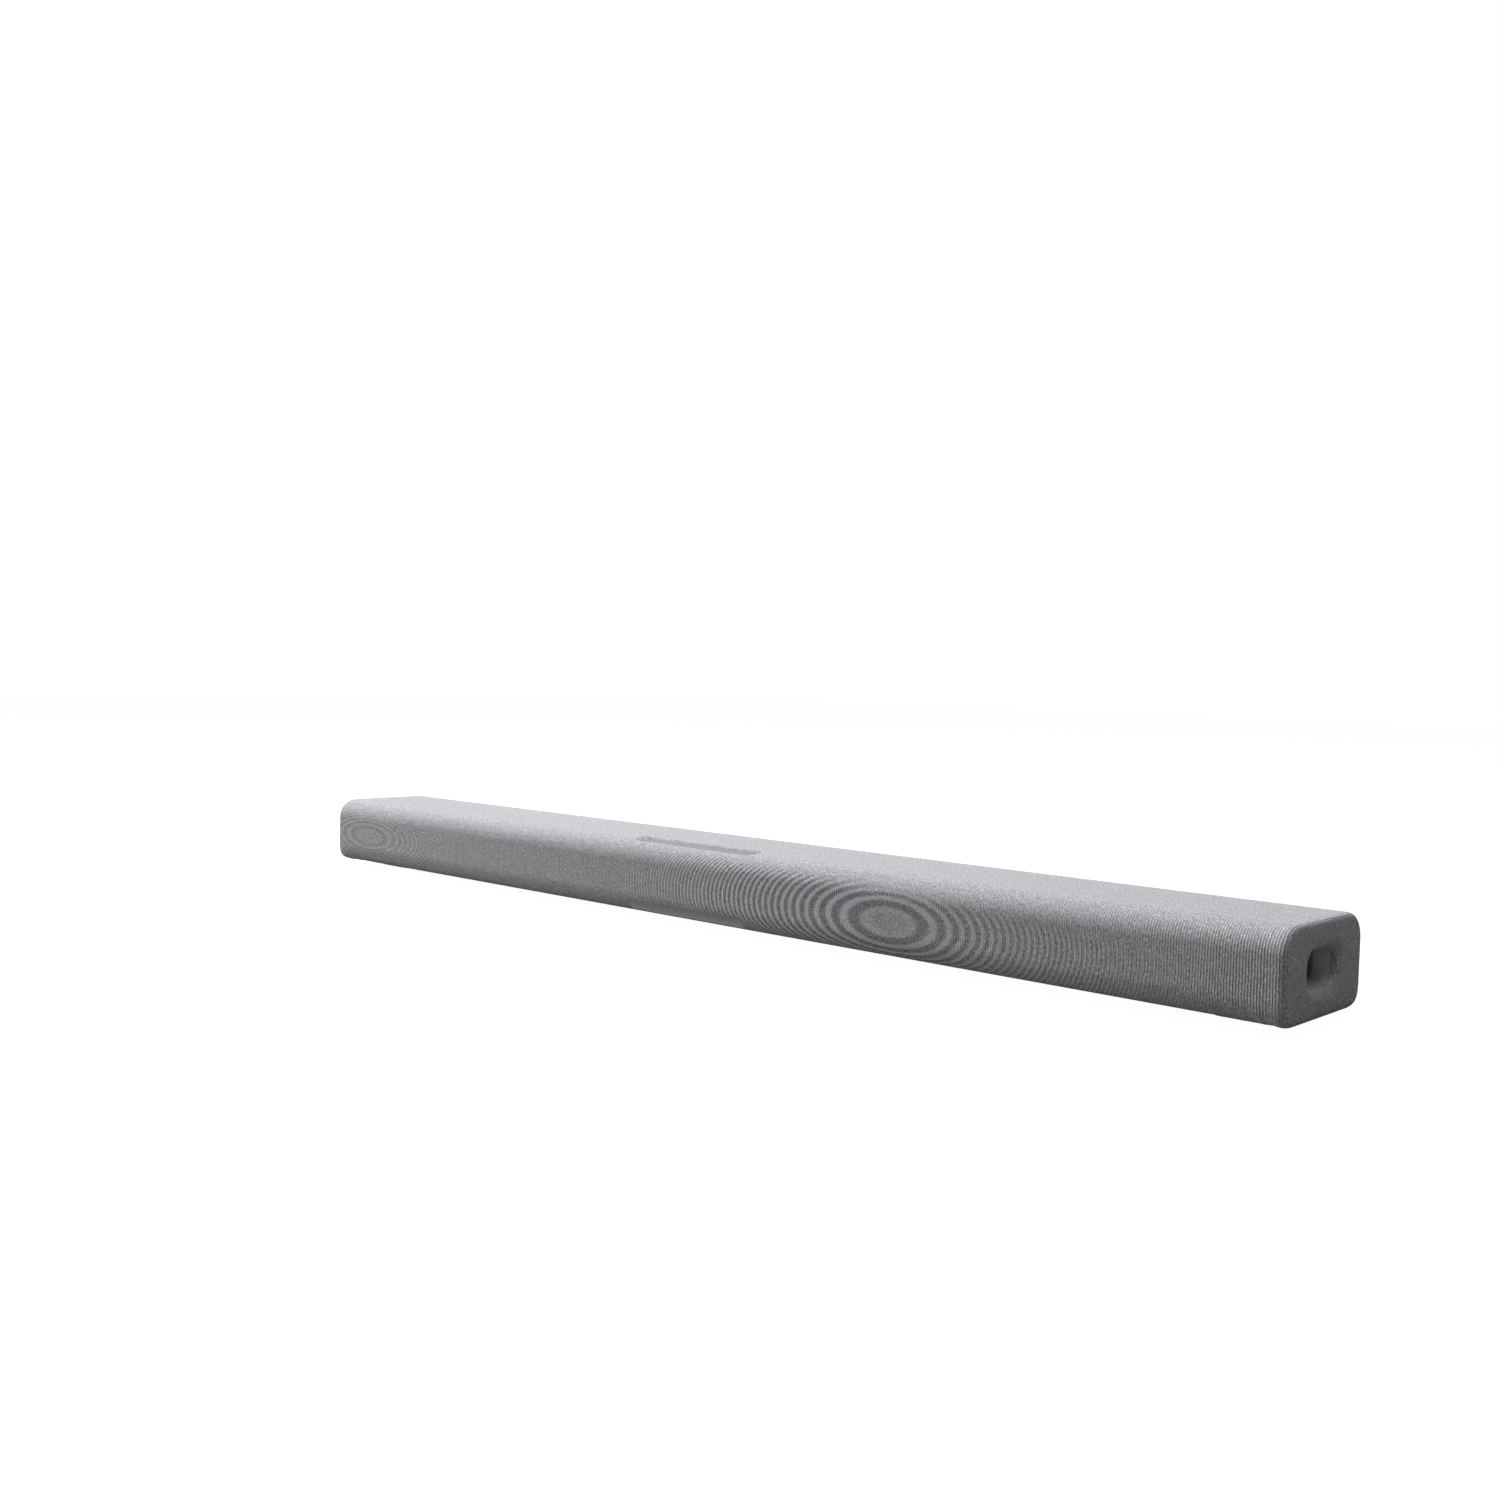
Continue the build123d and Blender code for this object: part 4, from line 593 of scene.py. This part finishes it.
def makeSleeve():
    low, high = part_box("fabric_wrap")
    middle = (low.z + high.z) / 2
    piece = addBlock("knittedSleeve", low, high)
    roundAlong(piece, 0, sleeve["cornerRadius"], sleeve["cornerSteps"])
    # The ends, with their rims rolled over
    pick(piece, "FACE", lambda centre, facing: abs(facing.x) > 0.9)
    bpy.ops.mesh.bevel(offset=sleeve["endRadius"], segments=sleeve["endSteps"], profile=sleeve["endProfile"],
                       affect="EDGES", clamp_overlap=False)
    sinkPorts(piece, high)
    sinkRecess(piece, middle, high)
    openCloth(piece, low, middle, high)
    gatherEnds(piece, low, middle, high)
    applyModifier(piece, "SOLIDIFY", thickness=sleeve["cloth"], offset=-1.0, use_even_offset=True)

    # Its place on the flat cloth, in metres
    threadMap = piece.data.uv_layers.new(name="threadMap")
    for face in piece.data.polygons:
        for loop in face.loop_indices:
            point = piece.data.vertices[piece.data.loops[loop].vertex_index].co
            threadMap.data[loop].uv = clothPlace(point, face.center, face.normal, low, high)
    pick(piece, "FACE", lambda centre, facing: False)
    bpy.ops.object.mode_set(mode="OBJECT")
    bpy.ops.object.shade_smooth_by_angle(angle=math.radians(sleeve["sharpAngle"]))
    applyModifier(piece, "WEIGHTED_NORMAL", keep_sharp=True, weight=100)
    piece.data.materials.clear()
    piece.data.materials.append(polyesterKnit())
    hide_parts("fabric_wrap")
    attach(piece, "cabinet")


makeSleeve()
print("sleeve knitted and stretched over the cabinet")


# Finishes of the cabinet's own pieces
def grainedSurface(name, colour, roughness, ior, grain, bumpHeight, coat=0.0):
    # Moulded, pressed or dipped, and not metal: an even colour under a fine grain that breaks up the highlight
    material, tree, shader = startMaterial(name)
    place = addNode(tree, "ShaderNodeTexCoord").outputs["Object"]
    spark = addNode(tree, "ShaderNodeTexNoise", None, {"Vector": place, "Scale": 1 / grain, "Detail": 3.0})
    sweep = addNode(tree, "ShaderNodeTexNoise", None, {"Vector": place, "Scale": 18.0, "Detail": 2.0})
    base = linearColour(colour)[:3]
    tint = addNode(tree, "ShaderNodeMix", {"data_type": "RGBA"},
                   {0: sweep.outputs["Fac"], 6: (*[0.8 * c for c in base], 1), 7: (*[1.2 * c for c in base], 1)})
    gloss = addNode(tree, "ShaderNodeMapRange", None,
                    {"Value": spark.outputs["Fac"], "From Min": 0.3, "From Max": 0.7,
                     "To Min": roughness - 0.1, "To Max": roughness + 0.1})
    bump = addNode(tree, "ShaderNodeBump", None,
                   {"Strength": 0.5, "Distance": bumpHeight, "Height": spark.outputs["Fac"]})
    tree.links.new(tint.outputs[2], shader.inputs["Base Color"])
    tree.links.new(gloss.outputs[0], shader.inputs["Roughness"])
    tree.links.new(bump.outputs[0], shader.inputs["Normal"])
    setShader(shader, ior=ior, coat=coat, coatRoughness=0.2)
    return material


def cloudedMetal(name, colour, roughness, grain):
    # Plated or extruded metal: a grey reflection with slight cloudiness from the bath or the die
    material, tree, shader = startMaterial(name)
    place = addNode(tree, "ShaderNodeTexCoord").outputs["Object"]
    cloud = addNode(tree, "ShaderNodeTexNoise", None, {"Vector": place, "Scale": 1 / grain, "Detail": 4.0})
    base = linearColour(colour)
    tint = addNode(tree, "ShaderNodeMix", {"data_type": "RGBA"},
                   {0: cloud.outputs["Fac"], 6: (*[0.85 * c for c in base[:3]], 1), 7: base})
    gloss = addNode(tree, "ShaderNodeMapRange", None,
                    {"Value": cloud.outputs["Fac"], "To Min": roughness - 0.08, "To Max": roughness + 0.08})
    tree.links.new(tint.outputs[2], shader.inputs["Base Color"])
    tree.links.new(gloss.outputs[0], shader.inputs["Roughness"])
    setShader(shader, metallic=1.0)
    return material


# The port's pale grey, with painted shade that darkens it deeper in the tube
portShade = {
    "mouthColour": "adafb4",
    "paintedShadeColour": "0d0d0f",
    "depth": 0.015,          # how far in from the mouth the painted shade darkens it to near black
    "shadeEdge": 0.002,           # how ragged the painted shade's edge is
    "shadeEdgeLength": 0.003,
    "peelLength": 0.0012,    # one bump of the fine orange-peel ripple on its face to the next
}


def portPlastic():
    # Smooth ABS tube, pale grey at its mouth, with painted shade that darkens it to near black further in
    material, tree, shader = startMaterial("paleGreyAbsWithPaintedShade")
    place = addNode(tree, "ShaderNodeTexCoord").outputs["Object"]
    parts = addNode(tree, "ShaderNodeSeparateXYZ", None, {0: place})
    along = addNode(tree, "ShaderNodeMath", {"operation": "ABSOLUTE"}, {0: parts.outputs[0]})
    shadeEdge = addNode(tree, "ShaderNodeTexNoise", None,
                   {"Vector": place, "Scale": 1 / portShade["shadeEdgeLength"], "Detail": 3.0})
    along = addNode(tree, "ShaderNodeMath", {"operation": "MULTIPLY_ADD"},
                    {0: shadeEdge.outputs["Fac"], 1: portShade["shadeEdge"], 2: along})
    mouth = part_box("port_gaskets")[1].x
    # Painted shade: from pale grey at the mouth to near black deeper in the tube
    paintedShade = addNode(tree, "ShaderNodeMapRange", None,
                    {"Value": along, "From Min": mouth - portShade["depth"], "From Max": mouth})
    tint = addNode(tree, "ShaderNodeMix", {"data_type": "RGBA"},
                   {0: paintedShade, 6: linearColour(portShade["paintedShadeColour"]), 7: linearColour(portShade["mouthColour"])})
    peel = addNode(tree, "ShaderNodeTexNoise", None,
                   {"Vector": place, "Scale": 1 / portShade["peelLength"], "Detail": 1.0})
    bump = addNode(tree, "ShaderNodeBump", None,
                   {"Strength": 0.3, "Distance": 0.00002, "Height": peel.outputs["Fac"]})
    tree.links.new(tint.outputs[2], shader.inputs["Base Color"])
    tree.links.new(bump.outputs[0], shader.inputs["Normal"])
    setShader(shader, roughness=0.45, ior=1.54)
    return material


touchGlow = {
    "darkTint": "757473",
    "paleTint": "858382",
    "colour": "ff7a3c",
    "strength": 0.6,
    "reach": 0.0032,         # how far the lit lamp's light spreads in the plastic
    "satinLength": 0.0006,
}


def touchPlastic():
    # Translucent polycarbonate with a satin face: even and soft, and it glows round the lamp that is lit
    material, tree, shader = startMaterial("satinWarmGreyPolycarbonate")
    place = addNode(tree, "ShaderNodeTexCoord").outputs["Object"]
    satin = addNode(tree, "ShaderNodeTexNoise", None,
                    {"Vector": place, "Scale": 1 / touchGlow["satinLength"], "Detail": 2.0})
    sweep = addNode(tree, "ShaderNodeTexNoise", None, {"Vector": place, "Scale": 25.0, "Detail": 2.0})
    tint = addNode(tree, "ShaderNodeMix", {"data_type": "RGBA"},
                   {0: sweep.outputs["Fac"], 6: linearColour(touchGlow["darkTint"]),
                    7: linearColour(touchGlow["paleTint"])})
    low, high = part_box("touch_lamps")
    lamp = Vector((low.x, (low.y + high.y) / 2, high.z))
    away = addNode(tree, "ShaderNodeVectorMath", {"operation": "DISTANCE"}, {0: place, 1: lamp})
    glow = addNode(tree, "ShaderNodeMapRange", {"interpolation_type": "SMOOTHSTEP"},
                   {"Value": away.outputs["Value"], "From Min": 0.0, "From Max": touchGlow["reach"],
                    "To Min": 1.0, "To Max": 0.0})
    light = addNode(tree, "ShaderNodeMix", {"data_type": "RGBA"},
                    {0: glow, 6: (0, 0, 0, 1), 7: linearColour(touchGlow["colour"])})
    bump = addNode(tree, "ShaderNodeBump", None,
                   {"Strength": 0.4, "Distance": 0.00002, "Height": satin.outputs["Fac"]})
    tree.links.new(tint.outputs[2], shader.inputs["Base Color"])
    tree.links.new(light.outputs[2], shader.inputs["Emission Color"])
    tree.links.new(bump.outputs[0], shader.inputs["Normal"])
    setShader(shader, roughness=0.6, ior=1.58, emission=touchGlow["strength"])
    return material


# What each slot is made of: name, colour, roughness, refractive index if not metal, grain, and height of the grain
finishes = {
    # Black ABS from a spark-eroded mould: near black, with a broad dull highlight
    "housing_plastic": grainedSurface("mouldedBlackAbs", "1b1b1d", 0.55, 1.54, 0.0005, 0.00006),
    "rear_plastic": grainedSurface("mouldedBlackAbsRear", "202022", 0.52, 1.54, 0.0006, 0.00008),
    "base_plastic": grainedSurface("mouldedBlackAbsBase", "1f1f21", 0.56, 1.54, 0.0006, 0.00008),
    "port_plastic": portPlastic(),
    # Die-cut closed-cell foam: black, finely pitted, and with no highlight
    "gasket_foam": grainedSurface("closedCellFoam", "161616", 0.9, 1.5, 0.0004, 0.00015),
    "touch_plastic": touchPlastic(),
    # Polycarbonate from a polished mould: small glossy orange beads
    "lamp_plastic": grainedSurface("clearOrangePolycarbonate", "d06a34", 0.2, 1.58, 0.001, 0.00001),
    # Solder mask over glass epoxy: green, under a glossy coat
    "circuit_board": grainedSurface("greenSolderMask", "1f5a38", 0.3, 1.55, 0.0009, 0.00003, 0.4),
    # Polycarbonate from a satin mould: mid grey and smooth, with a soft highlight
    "indicator_plastic": grainedSurface("satinDarkGreyPolycarbonate", "6a6967", 0.45, 1.58, 0.0004, 0.00002),
    # Smoked polycarbonate from a polished mould: darker and glossier than the plate round it
    "light_pipe": grainedSurface("smokedPolycarbonateLightPipe", "3c3b3a", 0.25, 1.58, 0.001, 0.00001),
    # Compression-moulded rubber: dull black with a dry face
    "foot_rubber": grainedSurface("mouldedRubber", "1a1a1b", 0.8, 1.52, 0.0004, 0.00008),
    # Steel with black zinc: dark, with a metal's glint on its edges
    "screw_steel": cloudedMetal("blackZincSteel", "3a3a3c", 0.42, 0.001),
    # Pressed steel with bright zinc: pale grey and a little cloudy
    "plate_steel": cloudedMetal("brightZincSteel", "b9bbbd", 0.34, 0.004),
    # Injection-moulded nylon: black and slightly waxy
    "socket_plastic": grainedSurface("mouldedBlackNylon", "141415", 0.5, 1.53, 0.0005, 0.00004),
    # Turned brass with nickel: a warm, nearly mirror-bright pin
    "contact_brass": cloudedMetal("nickelPlatedBrass", "cfcabb", 0.22, 0.002),
    # Drawn steel with tin: a pale grey shell with a soft reflection
    "socket_shell": cloudedMetal("tinPlatedSteel", "c4c4c1", 0.3, 0.002),
    # Injection-moulded nylon, unpainted: dark grey and slightly waxy
    "shutter_plastic": grainedSurface("mouldedGreyNylon", "3a3a3b", 0.5, 1.53, 0.0005, 0.00004),
    # PVC film shrunk over a can: dark blue, tight and glossy
    "capacitor_sleeve": grainedSurface("shrunkPvcSleeve", "22243a", 0.32, 1.54, 0.0012, 0.00002),
    # Ferrite core under polyester tape: brown-black, with a dull sheen
    "transformer_core": grainedSurface("tapedFerriteCore", "34322e", 0.6, 1.5, 0.001, 0.00006),
    # Transfer-moulded epoxy: flat black, as chips are
    "chip_resin": grainedSurface("mouldedEpoxy", "1c1c1c", 0.5, 1.57, 0.0004, 0.00003),
    # Extruded aluminium: bright fins with a satin reflection
    "heat_sink_aluminium": cloudedMetal("extrudedAluminium", "b4b5b7", 0.38, 0.003),
    # Pressed steel with tin: a bright can with a soft reflection
    "shield_can": cloudedMetal("tinPlatedCan", "c0c0bd", 0.3, 0.003),
    # Nylon with glass fibre: black, with a coarser and drier face
    "basket_plastic": grainedSurface("glassFilledNylon", "1d1d1e", 0.62, 1.54, 0.0006, 0.0001),
    # Moulded butyl rubber: a soft matt black roll
    "surround_rubber": grainedSurface("butylRubber", "181818", 0.7, 1.51, 0.0005, 0.00004),
    # Cotton dipped in resin: yellow-brown, with a coarse dry face
    "spider_cloth": grainedSurface("resinDippedCotton", "c7a66a", 0.85, 1.55, 0.0006, 0.0002),
    # Machined steel with zinc: pale grey rings
    "motor_steel": cloudedMetal("zincPlatedSteel", "a9abac", 0.36, 0.003),
    # Sintered ferrite: charcoal grey, with a grainy stone-like face
    "magnet_ferrite": grainedSurface("sinteredFerrite", "3a3a3c", 0.6, 1.9, 0.0005, 0.00006),
    # Pressed paper pulp with a thin coat: dark and fibrous, with almost no highlight
    "cone_paper": grainedSurface("coatedPaperPulp", "232323", 0.75, 1.5, 0.0007, 0.0002),
    # Woven silk with a tacky coat: dark and finely textured, with a soft highlight
    "dome_silk": grainedSurface("coatedSilk", "242425", 0.6, 1.54, 0.0004, 0.0001),
}
slotOf = {part["node"]: part["material_slot"] for part in frame["record"]["subparts"]}
for name, node in cadNodes.items():
    if slotOf[name] in finishes:
        node.data.materials.clear()
        node.data.materials.append(finishes[slotOf[name]])
print("finishes given to the cabinet's pieces")
